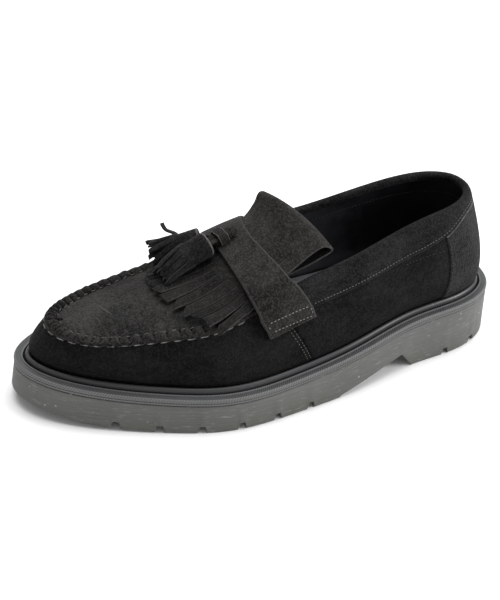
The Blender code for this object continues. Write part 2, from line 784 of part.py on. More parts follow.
def build_tassel_thong(finish):
    """The thong that joins the two caps behind their tops, at the knot's front end."""
    ends = []
    for tassel in (INNER_TASSEL, OUTER_TASSEL):
        cap, tip = tassel_ends(tassel)
        back = (cap - tip) / np.linalg.norm(cap - tip)
        ends.append(cap + back * (THONG_THICKNESS / 2 + 2 * GAP))
    across = (ends[1] - ends[0]) / np.linalg.norm(ends[1] - ends[0])
    rows = []
    bm = bmesh.new()
    for share in (-0.06, 0.0, 0.25, 0.5, 0.75, 1.0, 1.06):
        slim = 0.7 if share in (-0.06, 1.06) else 1.0
        spot = ends[0] + (ends[1] - ends[0]) * share
        spot[2] += THONG_THICKNESS * 0.4 * (1 - (2 * share - 1) ** 2)
        out = np.cross(across, (0.0, 0.0, 1.0))
        up = np.cross(out, across)
        corners = [(cos(a), sin(a)) for a in np.linspace(pi / 8, 2 * pi + pi / 8, 9)[:-1]]
        half, thick = slim * THONG_WIDTH / 2, slim * THONG_THICKNESS / 2
        rows.append(add_row(bm, [spot + up * x * half + out * z * thick for x, z in corners]))
    for first, second in zip(rows, rows[1:]):
        join_rows(bm, first, second, closed=True)
    bm.faces.new(rows[0])
    bm.faces.new(rows[-1])
    return add_object("tassel_thong", bm, finish)


def build_tassel_knot(finish):
    """The wrapped bundle of thong that lies along the top of the strap and holds the tassels."""
    strap_top = strap_at(0.0)[2] + STRAP_THICKNESS + GAP
    bm = bmesh.new()
    rows = []
    for row in KNOT:
        where = section_at(row.along * SOLE_LENGTH)
        half, rise = row.width * KNOT_WIDTH / 2, row.height * KNOT_THICKNESS
        middle = on_skin(where, KNOT_AROUND, strap_top + rise / 2 + row.lift * KNOT_THICKNESS)
        ahead = on_skin(where + 0.05, KNOT_AROUND, strap_top) - on_skin(where - 0.05, KNOT_AROUND, strap_top)
        _, across, above = frame_along(ahead)
        corners = [(cos(a), sin(a)) for a in np.linspace(pi / 8, 2 * pi + pi / 8, 9)[:-1]]
        rows.append(
            add_row(bm, [middle + across * half * x * 1.08 + above * rise / 2 * z * 1.08 for x, z in corners])
        )
    for first, second in zip(rows, rows[1:]):
        join_rows(bm, first, second, closed=True)
    bm.faces.new(rows[0])
    bm.faces.new(rows[-1])
    return add_object("tassel_knot", bm, finish, sharp_deg=35)


def main():
    clear_scene()
    suede = material("suede", BLACK_SUEDE, 0.95)
    rubber = material("sole_rubber", BLACK_RUBBER, 0.6)
    pvc = material("welt_rubber", BLACK_WELT, 0.4)
    lining = material("lining", BLACK_LINING, 0.7)
    build_outsole(rubber)
    build_welt(pvc)
    build_insole(lining)
    build_upper(suede)
    build_collar_band(suede)
    build_heel_counter(suede)
    build_saddle_strap(suede)
    build_kiltie(suede)
    build_tassel_knot(suede)
    build_tassel("tassel_outer", OUTER_TASSEL, suede)
    build_tassel("tassel_inner", INNER_TASSEL, suede)
    build_tassel_thong(suede)


main()
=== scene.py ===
"""The dressed tassel loafer, a left shoe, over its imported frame.

Each sub-assembly is a class: its sizes are dataclass fields, and its methods build the meshes and give
them their finish. Lengths are in metres. The toe points to -Y and the outer side of the foot is +X.
"""

import logging
from collections.abc import Callable, Sequence
from dataclasses import dataclass
from enum import Enum
from math import cos, pi, radians, sin
from typing import NamedTuple

import bmesh
import bpy
import numpy as np
from mathutils import Matrix, Vector


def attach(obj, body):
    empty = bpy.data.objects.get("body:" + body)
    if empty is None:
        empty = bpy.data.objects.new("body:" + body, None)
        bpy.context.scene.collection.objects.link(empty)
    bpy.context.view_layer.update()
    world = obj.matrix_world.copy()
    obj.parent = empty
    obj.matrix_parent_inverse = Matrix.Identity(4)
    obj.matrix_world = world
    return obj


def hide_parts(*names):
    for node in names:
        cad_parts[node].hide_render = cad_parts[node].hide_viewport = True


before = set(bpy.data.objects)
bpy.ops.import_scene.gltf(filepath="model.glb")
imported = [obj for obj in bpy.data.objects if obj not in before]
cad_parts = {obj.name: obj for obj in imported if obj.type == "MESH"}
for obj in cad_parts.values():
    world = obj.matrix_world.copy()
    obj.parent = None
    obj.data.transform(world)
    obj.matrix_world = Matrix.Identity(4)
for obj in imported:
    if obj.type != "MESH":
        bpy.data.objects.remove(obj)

log = logging.getLogger("loafer")
Array = np.ndarray
Colour = tuple[float, float, float]
Point = tuple[float, float, float]
Patch = tuple[float, float, float, float]
Pair = tuple[float, float]
Node, Tree, Socket = bpy.types.Node, bpy.types.NodeTree, bpy.types.NodeSocket
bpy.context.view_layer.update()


class Slot(Enum):
    """Material slots of the record."""

    SUEDE = "suede"
    SOLE = "sole_rubber"
    WELT = "welt_rubber"


class Section(NamedTuple):
    """One section of the last, from the back of the heel to the tip of the toe.

    along and rim_along are shares of the sole's length; outer, inner, rim_outer and rim_inner are half
    widths as shares of the ball width; rim, crown and bulge are shares of the back's height, the
    instep's rise and the wall's fullness.
    """

    along: float
    outer: float
    inner: float
    rim_along: float
    rim_outer: float
    rim_inner: float
    rim: float
    crown: float
    bulge: float


def smoothstep(low: float, high: float, value: Array) -> Array:
    """Eases from 0 at low to 1 at high.

    Args:
        low: Where the ease starts.
        high: Where it ends.
        value: The values to ease.

    Returns:
        The eased values.
    """
    share = np.clip((np.asarray(value, float) - low) / (high - low), 0.0, 1.0)
    return share * share * (3 - 2 * share)


def unit(vectors: Array) -> Array:
    """Vectors scaled to length 1."""
    return vectors / np.linalg.norm(vectors, axis=-1, keepdims=True)


def travelled(points: Array) -> Array:
    """The distance along a path at each of its points."""
    return np.concatenate([[0], np.cumsum(np.linalg.norm(np.diff(points, axis=0), axis=1))])


def closed_spline(rows: Array, where: Array) -> Array:
    """Reads a smooth closed curve through rows, one row per whole number.

    Args:
        rows: The rows that the curve passes through.
        where: The places to read.

    Returns:
        One row for each place.
    """
    count = len(rows)
    system = 4 * np.eye(count) + np.roll(np.eye(count), 1, 0) + np.roll(np.eye(count), -1, 0)
    bend = np.linalg.solve(system, 6 * (np.roll(rows, 1, 0) - 2 * rows + np.roll(rows, -1, 0)))
    where = np.mod(np.asarray(where, float), count)
    before = np.floor(where).astype(int) % count
    after = (before + 1) % count
    share = (where - np.floor(where))[:, None]
    rest = 1 - share
    bent = (rest**3 - rest) * bend[before] + (share**3 - share) * bend[after]
    return rest * rows[before] + share * rows[after] + bent / 6


def open_spline(rows: Array, where: Array) -> Array:
    """Reads a smooth open curve through rows, one row per whole number.

    Args:
        rows: The rows that the curve passes through.
        where: The places to read, from 0 to the last row's number.

    Returns:
        One row for each place.
    """
    rows = np.asarray(rows, float)
    padded = np.concatenate([2 * rows[:1] - rows[1:2], rows, 2 * rows[-1:] - rows[-2:-1]])
    where = np.clip(np.asarray(where, float), 0, len(rows) - 1)
    low = np.minimum(where.astype(int), len(rows) - 2)
    share = (where - low).reshape((-1,) + (1,) * (rows.ndim - 1))
    a, b, c, d = (padded[low + i] for i in range(4))
    cubic = 3 * b - a - 3 * c + d
    return 0.5 * (2 * b + (c - a) * share + (2 * a - 5 * b + 4 * c - d) * share**2 + cubic * share**3)


def ripple(spots: Array, scale: float, seed: int) -> Array:
    """A smooth, seeded unevenness in the range -1 to 1, from a few crossed waves.

    Args:
        spots: Points in metres.
        scale: The length of the main wave, in metres.
        seed: Which waves to use.

    Returns:
        One value for each point.
    """
    rng = np.random.default_rng(seed)
    total = np.zeros(len(spots))
    for _ in range(6):
        way = unit(rng.normal(size=3))
        total += np.sin(spots @ way * 2 * pi / (scale * rng.uniform(0.7, 1.5)) + rng.uniform(0, 2 * pi))
    return total / 6


@dataclass(frozen=True)
class LastSizes:
    """The sizes that the sole and the upper share."""

    length: float = 0.300
    ball_width: float = 0.110
    sole_thickness: float = 0.0215
    heel_height: float = 0.033
    seat_end: float = 0.035
    ball_start: float = 0.185
    top_spring: float = 0.0059
    top_spring_start: float = 0.190
    flare: float = 0.0018
    shelf: float = 0.0094
    gap: float = 0.0003
    back_height: float = 0.062
    instep_rise: float = 0.018
    fullness: float = 0.0055
    stand: float = 0.0034
    crown_power: float = 2.2
    throat: float = 5.0
    toe: float = 10.0


@dataclass
class Last:
    """The shape of the foot: every piece of the shoe is set out on it."""

    sizes: LastSizes = LastSizes()
    sections: tuple[Section, ...] = (
        Section(0.000, 0.000, 0.000, 0.075, 0.000, 0.000, 1.000, 0.95, 0.70),
        Section(0.027, 0.215, 0.223, 0.089, 0.105, 0.105, 1.000, 0.95, 0.70),
        Section(0.117, 0.341, 0.341, 0.143, 0.196, 0.196, 0.965, 0.95, 0.75),
        Section(0.233, 0.387, 0.350, 0.243, 0.234, 0.234, 0.903, 0.95, 0.85),
        Section(0.367, 0.483, 0.345, 0.373, 0.288, 0.275, 0.802, 1.00, 0.85),
        Section(0.500, 0.544, 0.375, 0.503, 0.335, 0.305, 0.730, 0.88, 0.85),
        Section(0.633, 0.571, 0.420, 0.640, 0.395, 0.315, 0.555, 0.67, 0.75),
        Section(0.750, 0.493, 0.410, 0.753, 0.362, 0.262, 0.490, 0.46, 0.65),
        Section(0.875, 0.345, 0.330, 0.858, 0.288, 0.192, 0.436, 0.25, 0.60),
        Section(0.965, 0.175, 0.188, 0.925, 0.155, 0.095, 0.392, 0.17, 0.55),
        Section(1.000, -0.014, 0.014, 0.945, 0.027, -0.027, 0.387, 0.15, 0.55),
    )

    def __post_init__(self) -> None:
        """Works out the rings of the sole's edge and the upper's rim."""
        s = self.sizes
        self.turn = 2 * (len(self.sections) - 1)
        self.edge_rows = self._ring(
            lambda c: (
                c.along * s.length,
                c.outer * s.ball_width,
                c.inner * s.ball_width,
                c.bulge * s.fullness,
            )
        )
        self.rim_rows = self._ring(
            lambda c: (
                c.rim_along * s.length,
                c.rim_outer * s.ball_width,
                c.rim_inner * s.ball_width,
                c.rim * s.back_height,
                c.crown * s.instep_rise,
            )
        )
        edge = self.outline(np.linspace(0, self.turn, 400), -s.flare)[:, 0]
        self.centre = (edge.max() + edge.min()) / 2

    def _ring(self, sizes_of: Callable[[Section], tuple[float, ...]]) -> Array:
        """Rows up the outer side of the foot and back down the inner side.

        Args:
            sizes_of: Gives a section's place along, its outer and inner half widths and the rest.

        Returns:
            Rows of across, along and the rest.
        """
        rows = [sizes_of(c) for c in self.sections]
        up = [(outer, along, *rest) for along, outer, _, *rest in rows]
        down = [(-inner, along, *rest) for along, _, inner, *rest in rows[-2:0:-1]]
        return np.array(up + down)

    def outward(self, rows: Array, where: Array) -> Array:
        """Unit normals of a ring in plan, out of the shoe."""
        run = unit(closed_spline(rows, where + 0.02)[:, :2] - closed_spline(rows, where - 0.02)[:, :2])
        return np.stack([run[:, 1], -run[:, 0]], 1)

    def place(self, plan: Array, height: Array) -> Array:
        """Points in the frame, from plan positions (across, along) and heights."""
        x = plan[..., 0] - self.centre
        return np.stack([x, self.sizes.length / 2 - plan[..., 1], np.broadcast_to(height, x.shape)], -1)

    def outline(self, where: Array, inset: Array | float = 0.0) -> Array:
        """The sole's top edge in plan, moved in by inset."""
        where = np.asarray(where, float)
        inset = np.broadcast_to(inset, where.shape)[:, None]
        return closed_spline(self.edge_rows, where)[:, :2] - self.outward(self.edge_rows, where) * inset

    def sole_top(self, along: Array) -> Array:
        """Height of the welt's top at a distance from the back of the heel."""
        s = self.sizes
        fall = np.clip((along - s.seat_end) / (s.ball_start - s.seat_end), 0, 1)
        toe = np.clip((along - s.top_spring_start) / (s.length - s.top_spring_start), 0, None)
        drop = s.heel_height - s.sole_thickness
        return s.sole_thickness + drop * (0.5 + 0.5 * np.cos(pi * fall)) + s.top_spring * toe**2

    def wall(self, where: Array, share: Array | float) -> tuple[Array, Array]:
        """The upper's wall: share 0 is just above the bead, 1 the rim.

        Returns:
            Plan positions and heights.
        """
        s = self.sizes
        where = np.asarray(where, float)
        share = np.broadcast_to(share, where.shape)
        rim = closed_spline(self.rim_rows, where)
        foot = self.outline(where, s.shelf + s.gap)
        bulge = closed_spline(self.edge_rows, where)[:, 2] * np.sin(pi * np.clip(share, 0, 1) ** 0.68)
        push = self.outward(self.edge_rows, where) * bulge[:, None]
        plan = foot + (rim[:, :2] - foot) * share[:, None] + push
        low = self.sole_top(foot[:, 1]) + s.gap + s.stand
        high = self.sole_top(rim[:, 1]) + rim[:, 2]
        return plan, low + (high - low) * share

    def apron(self, where: Array, across: Array | float) -> tuple[Array, Array]:
        """The top of the foot: across is 1 at the outer rim, 0 on the instep line, -1 at the inner rim."""
        outer = closed_spline(self.rim_rows, where)
        inner = closed_spline(self.rim_rows, self.turn - np.asarray(where, float))
        across = np.broadcast_to(across, np.shape(where))
        plan = (outer[:, :2] + inner[:, :2]) / 2 + (outer[:, :2] - inner[:, :2]) / 2 * across[:, None]
        rise = outer[:, 3] * (1 - np.minimum(np.abs(across), 1) ** self.sizes.crown_power)
        return plan, self.sole_top(outer[:, 1]) + outer[:, 2] + rise

    def skin(self, where: Array, around: Array) -> Array:
        """Points of the upper's outer face: around runs from 2 at the outer foot to -2 at the inner."""
        where, around = np.broadcast_arrays(np.asarray(where, float), np.asarray(around, float))
        top = self.place(*self.apron(where, np.clip(around, -1, 1)))
        side = np.where(around >= 0, where, self.turn - where)
        wall = self.place(*self.wall(side, np.clip(2 - np.abs(around), 0, 1)))
        return np.where((np.abs(around) <= 1)[:, None], top, wall)

    def on_skin(self, where: Array, around: Array, lift: Array | float) -> Array:
        """Those points raised along the surface's normal."""
        where, around, lift = np.broadcast_arrays(
            np.atleast_1d(np.asarray(where, float)), np.asarray(around, float), np.asarray(lift, float)
        )
        step = 0.02
        run = self.skin(where + step, around) - self.skin(where - step, around)
        over = self.skin(where, around + step) - self.skin(where, around - step)
        normal = unit(np.cross(run, over))
        return self.skin(where, around) + normal * lift[:, None]

    def section_at(self, along: Array | float) -> Array:
        """The section whose rim lies this far along, between the throat and the toe."""
        places = np.linspace(self.sizes.throat - 1, self.sizes.toe, 600)
        return np.interp(along, closed_spline(self.rim_rows, places)[:, 1], places)

    def station_at(self, along: Array | float) -> Array:
        """The place on the outer side of the sole's edge that lies this far along."""
        places = np.linspace(0, self.turn / 2, 1200)
        return np.interp(along, closed_spline(self.edge_rows, places)[:, 1], places)


# Shader building blocks


def new_group(name: str, inputs: dict[str, float], outputs: dict[str, str]) -> Tree:
    """Starts a shader node group.

    Args:
        name: The group's name.
        inputs: Its float inputs and their values.
        outputs: Its outputs and their socket types.

    Returns:
        The group, with its Group Input and Group Output nodes named "in" and "out".
    """
    group = bpy.data.node_groups.new(name, "ShaderNodeTree")
    for label, value in inputs.items():
        socket = group.interface.new_socket(label, in_out="INPUT", socket_type="NodeSocketFloat")
        socket.default_value = value
    for label, kind in outputs.items():
        group.interface.new_socket(label, in_out="OUTPUT", socket_type=kind)
    group.nodes.new("NodeGroupInput").name = "in"
    group.nodes.new("NodeGroupOutput").name = "out"
    return group


@dataclass
class NodeBench:
    """Adds nodes to a tree and wires them."""

    tree: Tree

    def node(self, kind: str, inputs: dict | None = None, **settings: object) -> Node:
        """Adds a node; inputs are values or sockets to link, settings are its properties."""
        made = self.tree.nodes.new(kind)
        for key, value in settings.items():
            setattr(made, key, value)
        for key, value in (inputs or {}).items():
            if isinstance(value, Socket):
                self.tree.links.new(value, made.inputs[key])
            else:
                made.inputs[key].default_value = value
        return made

    def math(self, operation: str, *values: object, clamp: bool = False) -> Socket:
        """A Math node's output."""
        inputs = dict(enumerate(values))
        return self.node("ShaderNodeMath", inputs, operation=operation, use_clamp=clamp).outputs[0]

    def vector(self, operation: str, *values: object, output: str = "Value") -> Socket:
        """A Vector Math node's output."""
        inputs = dict(enumerate(values))
        return self.node("ShaderNodeVectorMath", inputs, operation=operation).outputs[output]

    def times(self, first: object, second: object) -> Socket:
        """The product of two values."""
        return self.math("MULTIPLY", first, second)

    def plus(self, first: object, second: object) -> Socket:
        """The sum of two values."""
        return self.math("ADD", first, second)

    def spot(self) -> Socket:
        """The point on the object."""
        return self.node("ShaderNodeTexCoord").outputs["Object"]

    def flat(self) -> Socket:
        """The point on the UV map."""
        return self.node("ShaderNodeUVMap", uv_map="lay").outputs["UV"]

    def bump(self, height: object, strength: float, distance: float) -> Socket:
        """A Bump node's normal."""
        values = {"Strength": strength, "Distance": distance, "Height": height}
        return self.node("ShaderNodeBump", values).outputs["Normal"]

    def wire(self, shader: Node, colour: object, rough: object, bump: object = None) -> None:
        """Sets or links a Principled BSDF's colour, roughness and normal."""
        for label, value in (("Base Color", colour), ("Roughness", rough), ("Normal", bump)):
            if isinstance(value, Socket):
                self.tree.links.new(value, shader.inputs[label])
            elif value is not None:
                shader.inputs[label].default_value = value

    def noise(self, vector: object, scale: float, detail: float = 3.0, rough: float = 0.55) -> Socket:
        """A Noise node's value."""
        values = {"Vector": vector, "Scale": scale, "Detail": detail, "Roughness": rough}
        return self.node("ShaderNodeTexNoise", values).outputs["Fac"]

    def spread(
        self, value: object, low: float, high: float, to_low: float = 0.0, to_high: float = 1.0
    ) -> Socket:
        """A Map Range node's output, clamped."""
        values = {"Value": value, "From Min": low, "From Max": high, "To Min": to_low, "To Max": to_high}
        return self.node("ShaderNodeMapRange", values).outputs["Result"]

    def stretched(self, vector: object, scale: Point) -> Socket:
        """A Mapping node that stretches a pattern."""
        return self.node("ShaderNodeMapping", {"Vector": vector, "Scale": scale}).outputs["Vector"]

    def mix(self, share: object, first: object, second: object) -> Socket:
        """A colour mix."""
        made = self.node("ShaderNodeMix", {"Factor": share}, data_type="RGBA")
        colours = [s for s in made.inputs if s.type == "RGBA"]
        for socket, value in zip(colours, (first, second)):
            if isinstance(value, Socket):
                self.tree.links.new(value, socket)
            else:
                socket.default_value = (*value, 1.0)
        return next(s for s in made.outputs if s.type == "RGBA")

    def near(self, spot: object, place: Patch) -> Socket:
        """1 at a place (x, y, z, reach), ragged towards 0 at its reach."""
        away = self.vector("DISTANCE", spot, place[:3])
        ragged = self.plus(away, self.times(self.noise(spot, 110.0, 3.0), place[3] * 0.8))
        return self.spread(ragged, place[3] * 0.55, place[3] * 1.45, 1.0, 0.0)

    def hairline(self, spot: object, ends: tuple[Point, Point], width: float) -> Socket:
        """1 on a straight hairline between two points, 0 beside it."""
        run = Vector(ends[1]) - Vector(ends[0])
        away = self.vector("SUBTRACT", spot, ends[0], output="Vector")
        reach = self.vector("DOT_PRODUCT", away, run.normalized())
        squares = [self.math("POWER", value, 2.0) for value in (self.vector("LENGTH", away), reach)]
        aside = self.math("SQRT", self.math("SUBTRACT", *squares, clamp=True))
        before_end = self.math("LESS_THAN", reach, run.length)
        inside = self.times(self.math("GREATER_THAN", reach, 0.0), before_end)
        return self.times(self.spread(aside, width * 0.5, width, 1.0, 0.0), inside)


def nap_group() -> Tree:
    """Suede nap: short fibres, brushed patches that lean one way or the other, and a fine height."""
    group = new_group(
        "suede nap",
        {"Fibre Scale": 900.0, "Patch Scale": 42.0, "Patch Amount": 0.5},
        {"Shade": "NodeSocketFloat", "Height": "NodeSocketFloat"},
    )
    bench = NodeBench(group)
    values, out = group.nodes["in"].outputs, group.nodes["out"].inputs
    spot = bench.spot()
    fibre = bench.noise(spot, values["Fibre Scale"], 2.0, 0.7)
    clump = bench.noise(spot, 360.0, 3.0, 0.65)
    patch = bench.noise(spot, values["Patch Scale"], 3.0, 0.6)
    brushed = bench.noise(bench.stretched(spot, (1.0, 0.35, 1.0)), 130.0, 2.0, 0.5)
    grain = bench.plus(bench.times(fibre, 0.70), bench.times(clump, 0.30))
    grain = bench.spread(grain, 0.45, 0.59)
    lean = bench.plus(bench.times(patch, 0.65), bench.times(brushed, 0.35))
    lean = bench.spread(lean, 0.41, 0.60)
    grainy = bench.times(grain, bench.math("SUBTRACT", 1.0, values["Patch Amount"]))
    shade = bench.plus(grainy, bench.times(lean, values["Patch Amount"]))
    group.links.new(shade, out["Shade"])
    group.links.new(grain, out["Height"])
    return group


def scuff_group() -> Tree:
    """Scuffs, hair scratches and pale specks of dust on rubber."""
    group = new_group(
        "scuffs and specks",
        {"Speck Scale": 240.0, "Speck Amount": 0.12, "Cloud Scale": 30.0},
        {"Specks": "NodeSocketFloat", "Clouds": "NodeSocketFloat", "Scratches": "NodeSocketFloat"},
    )
    bench = NodeBench(group)
    values, out = group.nodes["in"].outputs, group.nodes["out"].inputs
    spot = bench.spot()
    cells = bench.node("ShaderNodeTexVoronoi", {"Vector": spot, "Scale": values["Speck Scale"]})
    near = bench.spread(cells.outputs["Distance"], 0.0, 0.22, 1.0, 0.0)
    pick = bench.node("ShaderNodeSeparateColor", {"Color": cells.outputs["Color"]}).outputs[0]
    rare = bench.math("LESS_THAN", pick, values["Speck Amount"])
    cloud = bench.noise(spot, values["Cloud Scale"], 5.0, 0.65)
    scratch = bench.noise(bench.stretched(spot, (0.6, 0.6, 5.0)), 260.0, 2.0, 0.5)
    group.links.new(bench.times(near, rare), out["Specks"])
    group.links.new(bench.spread(cloud, 0.35, 0.68), out["Clouds"])
    group.links.new(bench.spread(scratch, 0.62, 0.70), out["Scratches"])
    return group


class Finish:
    """A material that knows how to make itself once."""

    groups: dict[str, Tree] = {}
    made: dict[str, bpy.types.Material] = {}

    def build(self, bench: NodeBench, shader: Node) -> None:
        """Wires the finish into its Principled BSDF."""
        raise NotImplementedError

    def group(self, bench: NodeBench, name: str, maker: Callable[[], Tree], **values: float) -> Node:
        """Places a shared node group, with this finish's own values."""
        if name not in Finish.groups:
            Finish.groups[name] = maker()
        node = bench.node("ShaderNodeGroup", node_tree=Finish.groups[name])
        for label, value in values.items():
            node.inputs[label.replace("_", " ").title()].default_value = value
        return node

    def material(self) -> bpy.types.Material:
        """The finish's material, made the first time that it is asked for."""
        if self.name not in Finish.made:
            made = bpy.data.materials.new(self.name)
            made.use_nodes = True
            self.build(NodeBench(made.node_tree), made.node_tree.nodes["Principled BSDF"])
            Finish.made[self.name] = made
        return Finish.made[self.name]


@dataclass(frozen=True)
class Suede(Finish):
    """Napped suede; painted_light_patch is the place and reach of a paler patch: painted light, which on the
    apron also stands for flattened nap.
    """

    name: str = "apron suede"
    deep: Colour = (0.0050, 0.0049, 0.0049)
    lit: Colour = (0.042, 0.041, 0.039)
    patch: float = 0.40
    fuzz: float = 0.26
    relief: float = 0.5
    painted_light_patch: Patch | None = None
    scratch: tuple[Point, Point] | None = None

    def tone(self, bench: NodeBench, colour: Socket) -> Socket:
        """Pales the colour in the patch of painted light and on the scratch."""
        spot = bench.spot()
        pale = tuple(c * 1.7 for c in self.lit)
        # Painted light: a paler patch that fades out from its middle.
        if self.painted_light_patch:
            colour = bench.mix(bench.times(bench.near(spot, self.painted_light_patch), 0.22), colour, pale)
        if self.scratch:
            colour = bench.mix(bench.times(bench.hairline(spot, self.scratch, 0.0006), 0.8), colour, pale)
        return colour

    def build(self, bench: NodeBench, shader: Node) -> None:
        """Wires nap shade, sheen and fibre height."""
        nap = self.group(bench, "nap", nap_group, patch_amount=self.patch)
        colour = self.tone(bench, bench.mix(nap.outputs["Shade"], self.deep, self.lit))
        bump = bench.bump(nap.outputs["Height"], self.relief, 0.0007)
        rough = bench.spread(nap.outputs["Shade"], 0.0, 1.0, 0.85, 1.0)
        bench.wire(shader, colour, rough, bump)
        sheen = {"Weight": self.fuzz, "Roughness": 0.42, "Tint": (0.32, 0.31, 0.31, 1.0)}
        shader.inputs["Specular IOR Level"].default_value = 0.10
        for label, value in sheen.items():
            shader.inputs[f"Sheen {label}"].default_value = value


@dataclass(frozen=True)
class SeamSuede(Suede):
    """The gathered suede of the apron seam, with painted shade in its creases.

    Its UV map counts pleats along the seam, and goes from 0 to 1 across it.
    """

    name: str = "seam suede with painted crease shade"
    shadow: Colour = (0.0016, 0.0016, 0.0016)

    def tone(self, bench: NodeBench, colour: Socket) -> Socket:
        """Paints shade into the creases and along the seam's inner foot."""
        flat = bench.flat()
        parts = bench.node("ShaderNodeSeparateXYZ", {"Vector": flat})
        # Painted shade: dark in each crease between pleats, and along the foot where the seam meets the
        # apron.
        swing = bench.math("ABSOLUTE", bench.math("SINE", bench.times(parts.outputs["X"], pi)))
        crease = bench.spread(swing, 0.04, 0.42, 1.0, 0.0)
        inside = bench.spread(parts.outputs["Y"], 0.10, 0.34)
        foot = bench.spread(parts.outputs["Y"], 0.90, 1.0, 0.0, 0.8)
        crease_shade = bench.math("MAXIMUM", bench.times(crease, inside), foot)
        return bench.mix(bench.times(crease_shade, 0.86), colour, self.shadow)


@dataclass(frozen=True)
class CutEdge(Finish):
    """The paler cut edge of suede, which shows its fibres."""

    name: str = "cut suede edge"
    colour: Colour = (0.034, 0.033, 0.031)

    def build(self, bench: NodeBench, shader: Node) -> None:
        """Wires an uneven grey edge."""
        spot = bench.spot()
        mottle = bench.noise(spot, 700.0, 3.0, 0.6)
        dark = tuple(c * 0.35 for c in self.colour)
        colour = bench.mix(bench.spread(mottle, 0.35, 0.65), dark, self.colour)
        bump = bench.bump(mottle, 0.4, 0.0004)
        bench.wire(shader, colour, 0.95, bump)


@dataclass(frozen=True)
class SmoothLeather(Finish):
    """The lining: smooth dark leather with a fine grain."""

    name: str = "lining leather"
    colour: Colour = (0.0026, 0.0028, 0.0042)
    worn: Colour = (0.0065, 0.0068, 0.0092)
    roughness: float = 0.46
    # A pale patch of painted light inside the shoe, where light falls in through the throat.
    painted_light_patch: Patch = (-0.034, 0.022, 0.036, 0.060)
    pale: Colour = (0.060, 0.063, 0.072)

    def build(self, bench: NodeBench, shader: Node) -> None:
        """Wires grain cells, soft clouds of wear and a pale patch of painted light."""
        spot = bench.spot()
        grain = bench.node("ShaderNodeTexVoronoi", {"Vector": spot, "Scale": 1300.0}).outputs["Distance"]
        cloud = bench.spread(bench.noise(spot, 60.0, 4.0, 0.6), 0.4, 0.7)
        bump = bench.bump(grain, 0.18, 0.0003)
        rough = bench.spread(cloud, 0.0, 1.0, self.roughness, self.roughness + 0.14)
        # Painted light: the pale colour over the patch.
        pale = bench.times(bench.near(spot, self.painted_light_patch), 0.8)
        colour = bench.mix(pale, bench.mix(cloud, self.colour, self.worn), self.pale)
        bench.wire(shader, colour, rough, bump)


@dataclass(frozen=True)
class SoleRubber(Finish):
    """Matte moulded rubber with fine lines brushed along the edge."""

    name: str = "sole rubber"
    colour: Colour = (0.128, 0.129, 0.123)
    deep: Colour = (0.066, 0.067, 0.063)
    # The colour that the side wall darkens to near its bottom.
    low_tone: Colour = (0.066, 0.067, 0.054)
    dust: Colour = (0.50, 0.49, 0.45)
    scratched: Colour = (0.24, 0.24, 0.235)
    roughness: float = 0.62

    def build(self, bench: NodeBench, shader: Node) -> None:
        """Wires brushed lines on the UV map, clouds, specks and scratches."""
        flat = bench.flat()
        lines = bench.noise(bench.stretched(flat, (14.0, 900.0, 1.0)), 1.0, 4.0, 0.75)
        height = bench.node("ShaderNodeSeparateXYZ", {"Vector": flat}).outputs["Y"]
        scuff = self.group(bench, "scuff", scuff_group, speck_amount=0.16)
        shade = bench.plus(
            bench.times(scuff.outputs["Clouds"], 0.42),
            bench.times(bench.spread(lines, 0.36, 0.66), 0.58),
        )
        colour = bench.mix(shade, self.deep, self.colour)
        # Darker, in clouds, towards the bottom of the side wall.
        low_darkening = bench.times(bench.spread(height, 0.002, 0.016, 0.75, 0.0), scuff.outputs["Clouds"])
        colour = bench.mix(low_darkening, colour, self.low_tone)
        colour = bench.mix(bench.times(scuff.outputs["Specks"], 0.7), colour, self.dust)
        colour = bench.mix(bench.times(scuff.outputs["Scratches"], 0.45), colour, self.scratched)
        rough = bench.spread(shade, 0.0, 1.0, self.roughness - 0.08, self.roughness + 0.12)
        relief = bench.plus(lines, bench.times(scuff.outputs["Clouds"], 0.5))
        bump = bench.bump(relief, 0.35, 0.0005)
        bench.wire(shader, colour, rough, bump)


@dataclass(frozen=True)
class WeltRubber(Finish):
    """The welt's top: matte, with fine ribs across it where ribbed is set."""

    name: str = "ribbed welt"
    colour: Colour = (0.066, 0.069, 0.071)
    roughness: float = 0.5
    rib_pitch: float = 0.0013
    rib_relief: float = 0.9
    dust: Colour = (0.5, 0.49, 0.46)

    def build(self, bench: NodeBench, shader: Node) -> None:
        """Wires slanted ribs on the UV map, as bumps and as painted shade between them, over clouds and
        specks.
        """
        flat = bench.flat()
        parts = bench.node("ShaderNodeSeparateXYZ", {"Vector": flat})
        slanted = bench.plus(parts.outputs["X"], bench.times(parts.outputs["Y"], 0.6))
        wave = bench.math("SINE", bench.times(slanted, 2 * pi / self.rib_pitch))
        ribs = bench.spread(wave, -1.0, 1.0, 0.0, self.rib_relief)
        scuff = self.group(bench, "scuff", scuff_group, speck_amount=0.05)
        # Painted shade: the colour darkens between the ribs, besides their bump.
        shade = bench.plus(bench.times(ribs, 0.8), bench.times(scuff.outputs["Clouds"], 0.3))
        dark = tuple(c * 0.40 for c in self.colour)
        colour = bench.mix(shade, dark, self.colour)
        colour = bench.mix(bench.times(scuff.outputs["Specks"], 0.5), colour, self.dust)
        bump = bench.bump(ribs, 0.5, 0.0004)
        rough = bench.spread(scuff.outputs["Clouds"], 0.0, 1.0, self.roughness - 0.06, self.roughness + 0.1)
        bench.wire(shader, colour, rough, bump)


@dataclass(frozen=True)
class Bead(Finish):
    """The glossy bead that lies against the upper."""

    name: str = "glossy bead"
    colour: Colour = (0.040, 0.041, 0.043)
    roughness: float = 0.30
    dust: Colour = (0.3, 0.3, 0.29)

    def build(self, bench: NodeBench, shader: Node) -> None:
        """Wires a dark gloss with a little dust."""
        scuff = self.group(bench, "scuff", scuff_group, speck_amount=0.04)
        colour = bench.mix(bench.times(scuff.outputs["Specks"], 0.4), self.colour, self.dust)
        rough = bench.spread(scuff.outputs["Clouds"], 0.0, 1.0, self.roughness, self.roughness + 0.14)
        bench.wire(shader, colour, rough)


